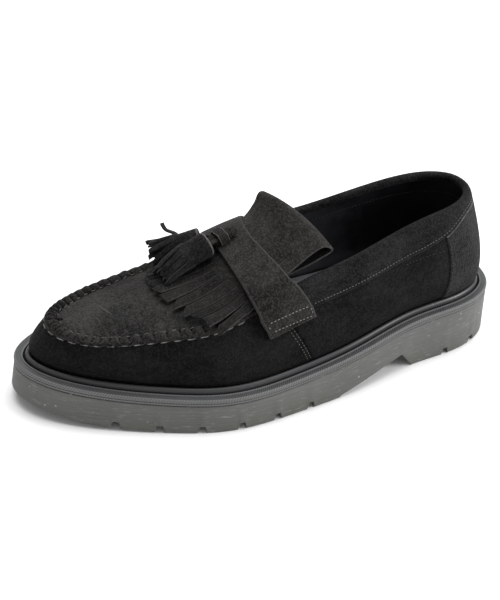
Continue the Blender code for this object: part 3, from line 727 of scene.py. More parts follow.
@dataclass(frozen=True)
class Thread(Finish):
    """Twisted sewing thread."""

    name: str = "grey thread"
    colour: Colour = (0.20, 0.195, 0.185)

    def build(self, bench: NodeBench, shader: Node) -> None:
        """Wires uneven grey thread."""
        spot = bench.spot()
        twist = bench.noise(spot, 1800.0, 2.0, 0.6)
        dark = tuple(c * 0.5 for c in self.colour)
        colour = bench.mix(bench.spread(twist, 0.35, 0.65), dark, self.colour)
        bench.wire(shader, colour, 0.8, bench.bump(twist, 0.3, 0.0002))


# A paler copy of the cut edge: the light lines along the counter's edges, the caps' rims and the wrap's cords
# are painted highlights.
PALE_EDGE_HIGHLIGHT = CutEdge("pale suede edge with painted highlight", (0.095, 0.092, 0.088))
FINE_THREADS = (Thread("fine thread", (0.125, 0.121, 0.118)), Thread("dark thread", (0.055, 0.053, 0.050)))


# Mesh building blocks


@dataclass
class Shape:
    """A mesh under construction, made of grids that are laid on surfaces and welded together."""

    name: str

    def __post_init__(self) -> None:
        """Starts an empty mesh with a UV layer."""
        self.bm = bmesh.new()
        self.lay = self.bm.loops.layers.uv.new("lay")

    def sheet(
        self,
        columns: Array,
        rows: Array,
        surface: Callable[[Array, Array], Array],
        slots: Callable[[Array], Array] | int = 0,
        lay: Callable[[Array, Array], Array] | None = None,
    ) -> None:
        """Lays a grid of quads on a surface.

        Args:
            columns: Places along the grid.
            rows: Places across it.
            surface: Gives the points for columns and rows.
            slots: The material index, or a function of the row values that gives it.
            lay: Gives the UV position for columns and rows, in metres.
        """
        wide, high = len(columns) - 1, len(rows) - 1
        verts = bmesh.ops.create_grid(self.bm, x_segments=wide, y_segments=high, size=1.0)["verts"]
        flat = np.array([v.co[:2] for v in verts])
        u = np.rint((flat[:, 0] + 1) / 2 * wide).astype(int)
        v = np.rint((flat[:, 1] + 1) / 2 * high).astype(int)
        spots = surface(columns[u], rows[v])
        uv = lay(columns[u], rows[v]) if lay else np.stack([columns[u], rows[v]], 1)
        row_of, uv_of = {}, {}
        for vert, spot, row, flat_spot in zip(verts, spots, v, uv):
            vert.co = spot
            row_of[vert], uv_of[vert] = rows[row], flat_spot
        for face in {f for vert in verts for f in vert.link_faces}:
            face.smooth = True
            middle = sum(row_of[vert] for vert in face.verts) / len(face.verts)
            face.material_index = slots if isinstance(slots, int) else int(slots(middle))
            for loop in face.loops:
                loop[self.lay].uv = uv_of[loop.vert]

    def blob(self, middle: Array, axes: Array, slot: int = 0) -> None:
        """Adds an egg-shaped piece, such as one stitch.

        Args:
            middle: Its centre.
            axes: Its three half axes, one per row.
            slot: Its material index.
        """
        columns = np.array([axes[1], axes[2], axes[0]]).T
        turn = Matrix([[*columns[i], middle[i]] for i in range(3)] + [[0, 0, 0, 1]])
        made = bmesh.ops.create_uvsphere(self.bm, u_segments=6, v_segments=4, radius=1.0, matrix=turn)
        for face in {f for vert in made["verts"] for f in vert.link_faces}:
            face.smooth = True
            face.material_index = slot

    def weld(self, distance: float = 2e-6) -> "Shape":
        """Joins vertices that lie on each other and turns the faces outwards."""
        bmesh.ops.remove_doubles(self.bm, verts=self.bm.verts, dist=distance)
        bmesh.ops.recalc_face_normals(self.bm, faces=self.bm.faces)
        return self

    def turn_from(self, inside: Sequence[float]) -> "Shape":
        """Turns an open sheet's faces away from a point inside the shoe."""
        middle = Vector(inside)
        facing = sum(f.calc_area() * f.normal.dot(f.calc_center_median() - middle) for f in self.bm.faces)
        if facing < 0:
            bmesh.ops.reverse_faces(self.bm, faces=self.bm.faces)
        return self

    def finish(
        self, slot: Slot, finishes: Sequence[Finish], replaces: Sequence[str] = (), sharp: float = 40
    ) -> bpy.types.Object:
        """Makes the object, in its material slots, riding on the part's one body.

        Args:
            slot: The record's material slot; not used.
            finishes: The finishes, in the order of the material indices.
            replaces: CAD nodes that it stands for.
            sharp: The angle in degrees from which an edge stays crisp.

        Returns:
            The object.
        """
        mesh = bpy.data.meshes.new(self.name)
        self.bm.normal_update()
        self.bm.to_mesh(mesh)
        self.bm.free()
        mesh.set_sharp_from_angle(angle=radians(sharp))
        for finish in finishes:
            mesh.materials.append(finish.material())
        made = bpy.data.objects.new(self.name, mesh)
        bpy.context.scene.collection.objects.link(made)
        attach(made, "root")
        if replaces:
            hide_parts(*replaces)
        log.info("%s: %d faces", self.name, len(mesh.polygons))
        return made


def slab_loop(edge: float, cells: int = 8, corner: int = 4) -> Array:
    """The section of a flat strip with rounded edges, as rows of (across, through).

    Args:
        edge: The rounding as a share of half the width.
        cells: Faces across the top.
        corner: Faces round each edge.

    Returns:
        Closed rows: across runs from -1 to 1, through from 0 at the bottom to 1 at the top.
    """
    flat = np.linspace(-(1 - edge), 1 - edge, cells + 1)
    turn = np.linspace(pi / 2, -pi / 2, corner + 1)[1:-1]
    side = np.stack([1 - edge + edge * np.cos(turn), 0.5 + 0.5 * np.sin(turn)], 1)
    top = np.stack([flat, np.ones_like(flat)], 1)
    low = np.stack([flat[::-1], np.zeros_like(flat)], 1)
    other = np.stack([-side[::-1, 0], side[::-1, 1]], 1)
    return np.concatenate([top, side, low, other, top[:1]])


def add_slab(
    shape: Shape,
    columns: Array,
    loop: Array,
    surface: Callable[[Array, Array, Array], Array],
    nose: float = 0.0,
    slot: int = 0,
    edge_slot: int | None = None,
    under_slot: int | None = None,
) -> None:
    """Adds a flat strip with rounded edges and closed ends.

    Args:
        shape: The mesh to add to.
        columns: Places along the strip.
        loop: Its section, from slab_loop.
        surface: Gives the points for places along, across and through.
        nose: How far the rounding of each end reaches, in the units of columns.
        slot: The material index of its faces.
        edge_slot: The material index of its edges, if they differ.
        under_slot: The material index of its under side, if it differs.
    """
    ends = [(columns[0], 0.0), (columns[0] + nose * 0.3, 0.72)]
    ends += [(c, 1.0) for c in columns if columns[0] + nose * 0.9 <= c <= columns[-1] - nose * 0.9]
    ends += [(columns[-1] - nose * 0.3, 0.72), (columns[-1], 0.0)]
    steps = np.arange(len(ends), dtype=float)
    along = np.array([e[0] for e in ends])
    full = np.array([e[1] for e in ends])
    turns = np.arange(len(loop), dtype=float)

    def spots(u: Array, v: Array) -> Array:
        """Points for the numbers of a column and of a place in the section."""
        i, j = u.astype(int), v.astype(int)
        return surface(along[i], loop[j, 0], 0.5 + (loop[j, 1] - 0.5) * full[i])

    def slots(turn: float) -> int:
        """Which faces are the strip's edges."""
        if edge_slot is None:
            return slot
        through = loop[int(turn), 1], loop[min(int(turn) + 1, len(loop) - 1), 1]
        if through == (0.0, 0.0) and under_slot is not None:
            return under_slot
        return slot if through in ((1.0, 1.0), (0.0, 0.0)) else edge_slot

    shape.sheet(steps, turns, spots, slots)


def add_tube(
    shape: Shape,
    path: Array,
    across: Array,
    above: Array,
    square: float = 0.5,
    rounds: int = 12,
    slot: int = 0,
    edge_slot: int | None = None,
) -> None:
    """Adds a closed strip or cord along a path.

    Args:
        shape: The mesh to add to.
        path: Points along its middle.
        across: Half its width, as a vector at each point.
        above: Half its thickness, as a vector at each point.
        square: 1 gives an oval section, less a squarer one.
        rounds: Faces round it.
        slot: The material index.
        edge_slot: The material index of its narrow sides, if it differs.
    """
    narrow = (0, rounds // 2 - 1, rounds // 2, rounds - 1) if edge_slot is not None else ()
    angles = np.linspace(0, 2 * pi, rounds + 1)
    wide = np.sign(np.cos(angles)) * np.abs(np.cos(angles)) ** square
    high = np.sign(np.sin(angles)) * np.abs(np.sin(angles)) ** square
    full = np.ones(len(path) + 2)
    full[[0, -1]] = 0.0
    index = np.concatenate([[0], np.arange(len(path)), [len(path) - 1]])

    def spots(u: Array, v: Array) -> Array:
        """Points for the numbers of a path point and of a place round the section."""
        i, j = u.astype(int), v.astype(int)
        k = index[i]
        turn = across[k] * wide[j][:, None] + above[k] * high[j][:, None]
        return path[k] + turn * full[i][:, None]

    def slots(turn: float) -> int:
        """Which faces are its narrow sides."""
        return edge_slot if int(turn) in narrow else slot

    shape.sheet(np.arange(len(full), dtype=float), np.arange(rounds + 1, dtype=float), spots, slots)


@dataclass(frozen=True)
class StitchRow:
    """One row of stitches along a path on the shoe."""

    length: float = 0.0024
    space: float = 0.0010
    thick: float = 0.0006
    slant: float = 0.0
    sink: float = 0.25

    def sew(self, shape: Shape, path: Array, normals: Array, slot: int = 0) -> None:
        """Adds the stitches.

        Args:
            shape: The mesh to add to.
            path: Points along the row.
            normals: The surface's normals at those points.
            slot: The thread's material index.
        """
        reach = travelled(path)
        pitch = self.length + self.space
        count = max(int((reach[-1] - self.length) / pitch), 0)
        middles = self.length / 2 + pitch * np.arange(count) + (reach[-1] - count * pitch) / 2

        def read(table: Array, at: float) -> Array:
            """The table's row at a distance along the path."""
            return np.array([np.interp(at, reach, table[:, i]) for i in range(3)])

        for middle in middles:
            ends = [read(path, middle + s * self.length / 2) for s in (-1, 1)]
            up = unit(read(normals, middle))
            run = (ends[1] - ends[0]) / 2
            side = unit(np.cross(up, run))
            run = run + side * self.slant * np.linalg.norm(run)
            half = self.thick / 2
            spot = (ends[0] + ends[1]) / 2 + up * half * (1 - 2 * self.sink)
            shape.blob(spot, np.array([run, side * half, up * half]), slot)


# The shoe's own pieces


@dataclass
class SoleUnit:
    """The moulded outsole with its heel, waist and cross channels."""

    last: Last
    heel_length: float = 0.0684
    heel_bevel: float = 0.010
    heel_bevel_rise: float = 0.0035
    breast_run: float = 0.0095
    breast_rise: float = 0.0115
    waist: float = 0.046
    step: float = 0.0012
    channel_pitch: float = 0.0221
    channel_width: float = 0.0050
    channel_depth: float = 0.0042
    channel_slope: float = 0.0010
    heel_channel: float = 0.0209
    heel_channels: int = 2
    fore_channel: float = 0.1447
    fore_channels: int = 6
    spring: float = 0.0076
    spring_start: float = 0.215
    welt: float = 0.0040
    rebate: float = 0.0155
    foot_round: tuple[Pair, ...] = (
        (0.0012, 0.0), (0.0005, 0.00012), (0.0001, 0.0006), (0.0, 0.0012),
    )
    top_round: float = 0.0004
    wall_rows: int = 5

    def corners(self) -> list[tuple[float, float]]:
        """The tread's corners as (along, height), from the back of the heel to the toe."""
        arch = self.heel_length + self.breast_run
        waist_end = arch + self.waist
        corners = [(0.0, self.heel_bevel_rise), (0.3 * self.heel_bevel, 0.42 * self.heel_bevel_rise)]
        corners += [(0.65 * self.heel_bevel, 0.10 * self.heel_bevel_rise), (self.heel_bevel, 0.0)]
        half = self.channel_width / 2
        heel = [self.heel_channel + i * self.channel_pitch for i in range(self.heel_channels)]
        fore = [self.fore_channel + i * self.channel_pitch for i in range(self.fore_channels)]
        for group in (heel, fore):
            for middle in group:
                corners += [(middle - half, 0.0), (middle - half + self.channel_slope, self.channel_depth)]
                corners += [(middle + half - self.channel_slope, self.channel_depth), (middle + half, 0.0)]
            if group is heel:
                corners += [(self.heel_length, 0.0), (arch, self.breast_rise)]
                corners += [(arch + self.waist / 2, self.breast_rise * 0.52 + self.step / 2)]
                corners += [(waist_end, self.step), (waist_end + self.step, 0.0)]
        corners.append((self.last.sizes.length, 0.0))
        return corners

    def tread(self, along: Array) -> Array:
        """Height of the tread at a distance from the back of the heel."""
        places, heights = np.array(self.corners()).T
        toe = np.clip((along - self.spring_start) / (self.last.sizes.length - self.spring_start), 0, None)
        return np.interp(along, places, heights) + self.spring * toe**2

    def build(self) -> None:
        """Makes the sole: its side wall, its tread and the shelf under the welt."""
        last, s = self.last, self.last.sizes
        crisp = last.station_at(np.array(self.corners())[1:-1, 0])
        half = np.linspace(0, last.turn / 2, 151)
        half = half[[np.abs(crisp - h).min() > 0.022 for h in half]]
        half = np.unique(np.concatenate([half, crisp, [0, last.turn / 2]]))
        ring = np.concatenate([half, (last.turn - half[::-1])[1:]])
        along = closed_spline(last.edge_rows, ring)[:, 1]
        travel = travelled(last.outline(ring))
        foot = np.array([(s.flare - inset, rise) for inset, rise in self.foot_round])
        levels = np.arange(len(foot))
        low, high = self.tread(along), last.sole_top(along) - self.welt - s.gap
        edge_row = levels[-1] + self.wall_rows + 1

        def side(u: Array, v: Array) -> Array:
            """Points of the side wall, its rounded foot and its top edge."""
            place = np.interp(u, ring, np.arange(len(ring)))
            i = np.rint(place).astype(int)
            base, top = low[i], high[i]
            k = np.clip(v, 0, levels[-1])
            out = np.interp(k, levels, foot[:, 0])
            rise = np.interp(k, levels, foot[:, 1])
            share = np.clip((v - levels[-1]) / self.wall_rows, 0, 1)
            inset = -out * (1 - share)
            height = base + rise + (top - self.top_round - base - rise) * share
            inset = np.where(v > edge_row - 0.5, self.top_round, inset)
            height = np.where(v > edge_row - 0.5, top, height)
            inset = np.where(v > edge_row + 0.5, self.rebate, inset)
            return last.place(last.outline(u, inset), height)

        def side_lay(u: Array, v: Array) -> Array:
            """Metres along the edge, and the height."""
            return np.stack([np.interp(u, ring, travel), side(u, v)[:, 2]], 1)

        def flat_lay(u: Array, v: Array) -> Array:
            """Metres along and across the sole, roughly."""
            return np.stack([u * 0.03, v * 0.05], 1)

        shape = Shape("outsole_dressed")
        shape.sheet(ring, np.arange(edge_row + 2.0), side, 0, side_lay)

        def across(at: float, heights: Array) -> Callable[[Array, Array], Array]:
            """A surface across the sole between both sides, at that inset."""

            def spots(u: Array, v: Array) -> Array:
                """Points on the lines from side to side."""
                outer, inner = last.outline(u, at), last.outline(last.turn - u, at)
                plan = outer * ((1 + v) / 2)[:, None] + inner * ((1 - v) / 2)[:, None]
                k = np.rint(np.interp(u, ring, np.arange(len(ring)))).astype(int)
                return last.place(plan, heights[k])

            return spots

        wide = np.linspace(1, -1, 9)
        shape.sheet(half, wide, across(-foot[0, 0], low), 0, flat_lay)
        shape.sheet(half, wide, across(self.rebate, high), 0, flat_lay)
        shape.weld().finish(Slot.SOLE, [SoleRubber()], ["outsole"], sharp=34)


RIBBED, EDGE, BEAD, GROOVE_SHADE = range(4)


@dataclass
class Welt:
    """The strip round the sole's edge: edge band, ribbed top, ridge line, groove and bead."""

    last: Last
    thickness: float = 0.0040
    shelf: float = 0.0094
    tuck: float = 0.0055
    bead_width: float = 0.0032
    bead_height: float = 0.0027
    groove_width: float = 0.0010
    groove_depth: float = 0.0010
    columns: int = 420
    bead_steps: int = 12
    foot_round: tuple[Pair, ...] = ((0.0005, 0.0), (0.0001, 0.0003), (0.0, 0.0007))
    edge_line: tuple[Pair, ...] = ((0.0, -0.00245), (0.00035, -0.0023), (0.00035, -0.0020), (0.0, -0.00185))
    top_round: tuple[Pair, ...] = ((0.0, -0.0010), (0.00015, -0.00045), (0.0005, -0.0001))
    ribbed_band: Pair = (0.0010, 0.0026)
    ridge: tuple[Pair, ...] = ((0.0014, 0.0), (0.00115, 0.00035), (0.0007, 0.00045))
    groove_lip: tuple[Pair, ...] = ((0.0003, 0.0003), (0.0, -0.0001))

    def section(self) -> tuple[Array, Array]:
        """The section as (inset, height over the welt's top), and the finish of each step."""
        bead = self.shelf - self.bead_width
        groove = bead - self.groove_width
        t = self.thickness
        rows = [(inset, -t + rise, EDGE) for inset, rise in self.foot_round]
        rows += [(inset, height, EDGE) for inset, height in self.edge_line + self.top_round]
        rows += [(inset, 0.0, RIBBED) for inset in (*self.ribbed_band, groove - self.ridge[0][0])]
        # The ridge takes the paler edge rubber, which paints a highlight line along it.
        rows += [(groove - inset, height, EDGE) for inset, height in self.ridge[1:]]
        # The groove's lip and floor take near-black rubber: painted shade.
        rows += [(groove - inset, height, GROOVE_SHADE) for inset, height in self.groove_lip]
        rows += [(groove + self.groove_width * 0.45, -self.groove_depth, GROOVE_SHADE)]
        for i in range(self.bead_steps + 1):
            angle = pi * i / self.bead_steps
            rise = self.bead_height * (0.1 + 0.9 * sin(angle))
            rows.append((bead + self.bead_width * (0.5 - 0.5 * cos(angle)), rise, BEAD))
        rows += [(self.shelf + 0.0004, 0.0, BEAD), (self.shelf + self.tuck, 0.0, BEAD)]
        rows += [(self.shelf + self.tuck, -t, EDGE), (self.foot_round[0][0], -t, EDGE)]
        return np.array([r[:2] for r in rows]), np.array([r[2] for r in rows])

    def build(self) -> None:
        """Makes the welt."""
        last = self.last
        section, finishes = self.section()
        ring = np.linspace(0, last.turn, self.columns + 1)
        edge = last.outline(ring)
        travel = travelled(edge)
        rise = travelled(section)

        def spots(u: Array, v: Array) -> Array:
            """Points of the section's rows round the ring."""
            inset, height = section[v.astype(int)].T
            plan = last.outline(u, inset)
            return last.place(plan, last.sole_top(plan[:, 1]) + height)

        def lay(u: Array, v: Array) -> Array:
            """Metres along the edge and across the section."""
            return np.stack([np.interp(u, ring, travel), rise[v.astype(int)]], 1)

        shape = Shape("welt_dressed")
        rows = np.arange(len(section), dtype=float)
        shape.sheet(ring, rows, spots, lambda middle: finishes[int(middle)], lay)
        edge_band = WeltRubber("welt edge", (0.150, 0.153, 0.151), 0.52, 0.0016, 0.75)
        # Near-black rubber for the groove: painted shade in the recess.
        groove = WeltRubber("welt groove painted shade", (0.012, 0.012, 0.012))
        shape.weld().finish(Slot.WELT, [WeltRubber(), edge_band, Bead(), groove], ["welt"], sharp=50)


@dataclass
class Upper:
    """The hollow upper: walls, the puckered apron seam and the apron, over its lining."""

    last: Last
    wall_thickness: float = 0.0018
    ridge_width: float = 0.0065
    ridge_height: float = 0.0029
    pleat_pitch: float = 0.0070
    pleat_depth: float = 0.0036
    pleat_steps: tuple[float, ...] = (0.0, 0.035, 0.08, 0.15, 0.25, 0.37, 0.5, 0.63, 0.75, 0.85, 0.92, 0.965)
    back_columns: int = 150
    slack: float = 0.00055
    apron_ripple: float = 0.0004
    gather_depth: float = 0.0007
    crease_depth: float = 0.0007
    foot_depth: float = 0.0005
    foot_reach: float = 0.035
    # The apron's toe gets a paler patch: painted light, which also stands for flattened nap.
    suede: Suede = Suede(
        painted_light_patch=(-0.012, -0.112, 0.062, 0.030),
        scratch=((-0.0078, -0.1028, 0.0559), (0.0051, -0.0980, 0.0566)),
    )
    # A much darker copy of the apron suede for the walls: their shade is painted into it.
    wall: Suede = Suede("wall suede with painted shade", (0.0004, 0.0004, 0.0004), (0.0150, 0.0143, 0.0138), fuzz=0.05)
    # The seam suede has painted shade in its creases.
    seam: SeamSuede = SeamSuede(deep=(0.0050, 0.0049, 0.0047), lit=(0.042, 0.041, 0.038), fuzz=0.2)
    stitch: StitchRow = StitchRow(0.0050, 0.0024, 0.0008, 0.0, 0.3)
    pinch: StitchRow = StitchRow(0.0030, 0.0026, 0.0006, 0.1, 0.2)

    def __post_init__(self) -> None:
        """Measures the seam's length along the rim."""
        last = self.last
        self.start = last.sizes.throat
        fine = np.linspace(self.start, last.turn / 2, 1200)
        rim = last.place(*last.wall(fine, 1.0))
        self.reach = travelled(rim)
        self.fine = fine
        crowding = 1 - 0.36 * smoothstep(6.9, 8.6, fine)
        pitch = self.pleat_pitch * (crowding + 0.10 * np.sin(fine * 8.3) * np.sin(fine * 3.1))
        beats = np.concatenate([[0], np.cumsum(np.diff(self.reach) / pitch[1:])])
        self.pleats = round(beats[-1])
        self.beats = beats * self.pleats / beats[-1]

    def beat(self, where: Array) -> Array:
        """How many pleats lie between the seam's start and a place."""
        return np.interp(np.minimum(where, self.last.turn - where), self.fine, self.beats)

    def pleat(self, where: Array) -> Array:
        """How far the seam is gathered at a place: 0 in a pinch, 1 on a pleat's back."""
        beat = self.beat(where)
        swing = np.abs(np.sin(pi * beat)) ** 0.8
        toe = smoothstep(8.0, 9.5, np.minimum(where, self.last.turn - where))
        shallow = 1 - 0.45 * np.maximum(toe, np.where(where > self.last.turn / 2, 0.75, 0.0))
        return 1 - (1 - swing * (0.86 + 0.14 * np.sin(beat * 2.3) * np.sin(beat * 0.71))) * shallow

    def fade(self, where: Array) -> Array:
        """1 along the seam, 0 behind its start under the strap."""
        from_throat = np.minimum(where, self.last.turn - where)
        return smoothstep(self.start + 0.45, self.start + 0.85, from_throat)

    def ridge(self, where: Array, share: Array) -> tuple[Array, Array]:
        """The raised seam: share 0 is the rim, 1 where it meets the apron.

        Args:
            where: Places on the ring.
            share: How far across the ridge.

        Returns:
            Plan positions and heights.
        """
        last = self.last
        outer = closed_spline(last.rim_rows, where)
        facing = closed_spline(last.rim_rows, last.turn - where)
        half = np.linalg.norm(outer[:, :2] - facing[:, :2], axis=1) / 2
        out = last.outward(last.rim_rows, where)
        width = self.ridge_width * (1 + 0.32 * smoothstep(8.6, 10.0, np.minimum(where, last.turn - where)))
        across = np.clip(1 - share * width / np.maximum(half, 1e-6), 0, 1)
        height = last.sole_top(outer[:, 1]) + outer[:, 2] + outer[:, 3] * (1 - across**last.sizes.crown_power)
        fade, pinch = self.fade(where), 1 - self.pleat(where)
        bump = self.ridge_height * np.sin(pi * share) ** 0.7 * fade
        inner_part = smoothstep(0.10, 0.46, share) * smoothstep(1.05, 0.90, share)
        valley = self.pleat_depth * pinch * fade * inner_part
        crease = self.crease_depth * np.exp(-(((share - 1.0) / 0.06) ** 2)) * fade
        foot = self.foot_depth * np.exp(-((share / 0.07) ** 2)) * fade
        plan = outer[:, :2] - out * (share * width)[:, None] + out * (0.5 * bump - 0.3 * foot)[:, None]
        return plan, height + 0.87 * bump - valley - crease - foot * 0.3

    def wall_spots(self, where: Array, row: Array) -> Array:
        """Points of the wall: row runs from -1 behind the bead, over 0 at the bead, to 1 at the rim."""
        last = self.last
        share = np.clip(row, 0, 1)
        plan, height = last.wall(where, share)
        height = height - last.sizes.stand * np.clip(-row, 0, 1)
        out = last.outward(last.edge_rows, where)
        gather = (self.pleat(where) - 0.8) * self.fade(where) * smoothstep(0.78, 0.98, share)
        foot = self.fade(where) * np.exp(-(((share - 1.0) / self.foot_reach) ** 2))
        spots = last.place(plan, height)
        from_throat = np.minimum(where, last.turn - where)
        soft = ripple(spots, 0.045, 5) * self.slack * np.sin(pi * share) * smoothstep(4.9, 5.6, from_throat)
        push = out * (gather * self.gather_depth + soft - foot * 0.00015)[:, None]
        spots[:, 0] += push[:, 0]
        spots[:, 1] -= push[:, 1]
        spots[:, 2] -= foot * 0.0001
        return spots

    def ridge_spots(self, where: Array, share: Array) -> Array:
        """Points of the raised seam."""
        return self.last.place(*self.ridge(where, share))

    def apron_spots(self, where: Array, across: Array) -> Array:
        """Points of the apron inside the seam: across runs from 1 at the outer seam to -1."""
        last = self.last
        one = np.ones_like(where)
        outer, height = self.ridge(where, one)
        inner, facing = self.ridge(last.turn - where, one)
        top = closed_spline(last.rim_rows, where)
        crown = last.sole_top(top[:, 1]) + top[:, 2] + top[:, 3] - (height + facing) / 2
        plan = outer * ((1 + across) / 2)[:, None] + inner * ((1 - across) / 2)[:, None]
        low = height * (1 + across) / 2 + facing * (1 - across) / 2
        spots = last.place(plan, low + np.maximum(crown, 0) * (1 - np.abs(across) ** last.sizes.crown_power))
        spots[:, 2] += ripple(spots, 0.035, 9) * self.apron_ripple * (1 - across**4)
        return spots

    def seam_lay(self, where: Array, share: Array) -> Array:
        """Pleats along the seam, and the share across it."""
        return np.stack([self.beat(where), share], 1)

    def seam_line(self, share: float, trim: float) -> tuple[Array, Array]:
        """A line along the seam and its normals.

        Args:
            share: How far across the ridge, negative on the wall.
            trim: How far from the throat it starts and ends, in places.

        Returns:
            Points and unit normals.
        """
        where = np.linspace(self.start + trim, self.last.turn - self.start - trim, 900)

        def spots(at: Array, side: Array) -> Array:
            """Points on the wall or the ridge."""
            on_wall = self.wall_spots(at, 1 + side)
            return np.where((side < 0)[:, None], on_wall, self.ridge_spots(at, np.clip(side, 0, 1)))

        sides = np.full_like(where, share)
        run = spots(where + 0.03, sides) - spots(where - 0.03, sides)
        over = spots(where, sides + 0.03) - spots(where, sides - 0.03)
        normals = unit(np.cross(run, over))
        normals *= np.sign(normals[:, 2:3] + 1e-9)
        return spots(where, sides), normals

    def build(self) -> None:
        """Makes the shell with its lining, and the two rows of seam stitches."""
        last = self.last
        steps = (np.arange(self.pleats)[:, None] + np.array(self.pleat_steps)).ravel()
        half = np.append(np.interp(steps, self.beats, self.fine), last.turn / 2)
        front = np.concatenate([half, (last.turn - half[::-1])[1:]])
        back = np.linspace(front[-1], last.turn + self.start, self.back_columns + 1)
        shape = Shape("upper_dressed")
        rows = [[-1.0], np.linspace(0, 0.72, 15), np.linspace(0.75, 0.94, 8), [0.965, 0.985, 1.0]]
        rows = np.concatenate(rows)
        shape.sheet(front, rows, self.wall_spots, 2)
        shape.sheet(back, rows, self.wall_spots, 2)
        shape.sheet(front, np.linspace(0, 1, 17), self.ridge_spots, 4, self.seam_lay)
        shape.sheet(half, np.linspace(1, -1, 43), self.apron_spots)
        shape.weld(4e-6).turn_from((0.0, 0.0, 0.045))
        lining = SmoothLeather()
        finishes = [self.suede, lining, self.wall, lining, self.seam, lining]
        made = shape.finish(Slot.SUEDE, finishes, ["upper"], sharp=70)
        wall = made.modifiers.new("thickness", "SOLIDIFY")
        wall.thickness, wall.offset, wall.material_offset = self.wall_thickness, -1.0, 1
        threads = Shape("apron_stitches")
        self.stitch.sew(threads, *self.seam_line(-0.012, 0.62))
        self.pinch.sew(threads, *self.seam_line(0.97, 0.75), 1)
        threads.finish(Slot.SUEDE, [Thread(), Thread("soft thread", (0.12, 0.117, 0.11))])


@dataclass
class WallPanel:
    """A flat panel that is sewn over the wall between two places on the ring."""

    last: Last
    name: str
    suede: Suede
    thickness: float
    lift: float
    low: Callable[[Array], Array]
    high: Callable[[Array], Array]
    start: Callable[[Array], Array]
    end: Callable[[Array], Array]
    edge: CutEdge = CutEdge()

    def spots(self, along: Array, across: Array, through: Array) -> Array:
        """Points of the panel: along runs from 0 at its start to 1, across from -1 at its foot to 1."""
        guess = self.start(across) + (self.end(across) - self.start(across)) * along
        share = self.low(guess) + (self.high(guess) - self.low(guess)) * (across + 1) / 2
        return wall_point(self.last, guess, share, self.lift + self.thickness * through)

    def build(self, replaces: Sequence[str], columns: int) -> None:
        """Makes the panel.

        Args:
            replaces: CAD nodes that it stands for.
            columns: Faces along it.
        """
        shape = Shape(self.name)
        loop = slab_loop(self.thickness / 0.04, 26)
        add_slab(shape, np.linspace(0, 1, columns), loop, self.spots, nose=0.004, edge_slot=1)
        shape.weld().finish(Slot.SUEDE, [self.suede, self.edge], replaces, sharp=60)


def wall_point(last: Last, where: Array, share: Array, lift: Array | float) -> Array:
    """A point over the upper's wall.

    Args:
        last: The last.
        where: Places on the whole ring.
        share: 0 just above the bead, 1 at the rim.
        lift: Height over the wall.

    Returns:
        Points.
    """
    where, share, lift = np.broadcast_arrays(np.atleast_1d(np.asarray(where, float)), share, lift)
    at = last.place(*last.wall(where, share))
    run = last.place(*last.wall(where + 0.02, share)) - last.place(*last.wall(where - 0.02, share))
    above = last.place(*last.wall(where, np.minimum(share + 0.02, 1)))
    out = unit(np.cross(above - last.place(*last.wall(where, share - 0.02)), run))
    return at + out * lift[:, None]


def wall_line(last: Last, where: Array, share: Array, lift: float) -> tuple[Array, Array]:
    """A line over the wall with its normals, for stitches."""
    low, high = wall_point(last, where, share, lift), wall_point(last, where, share, lift + 0.001)
    return low, (high - low) / 0.001


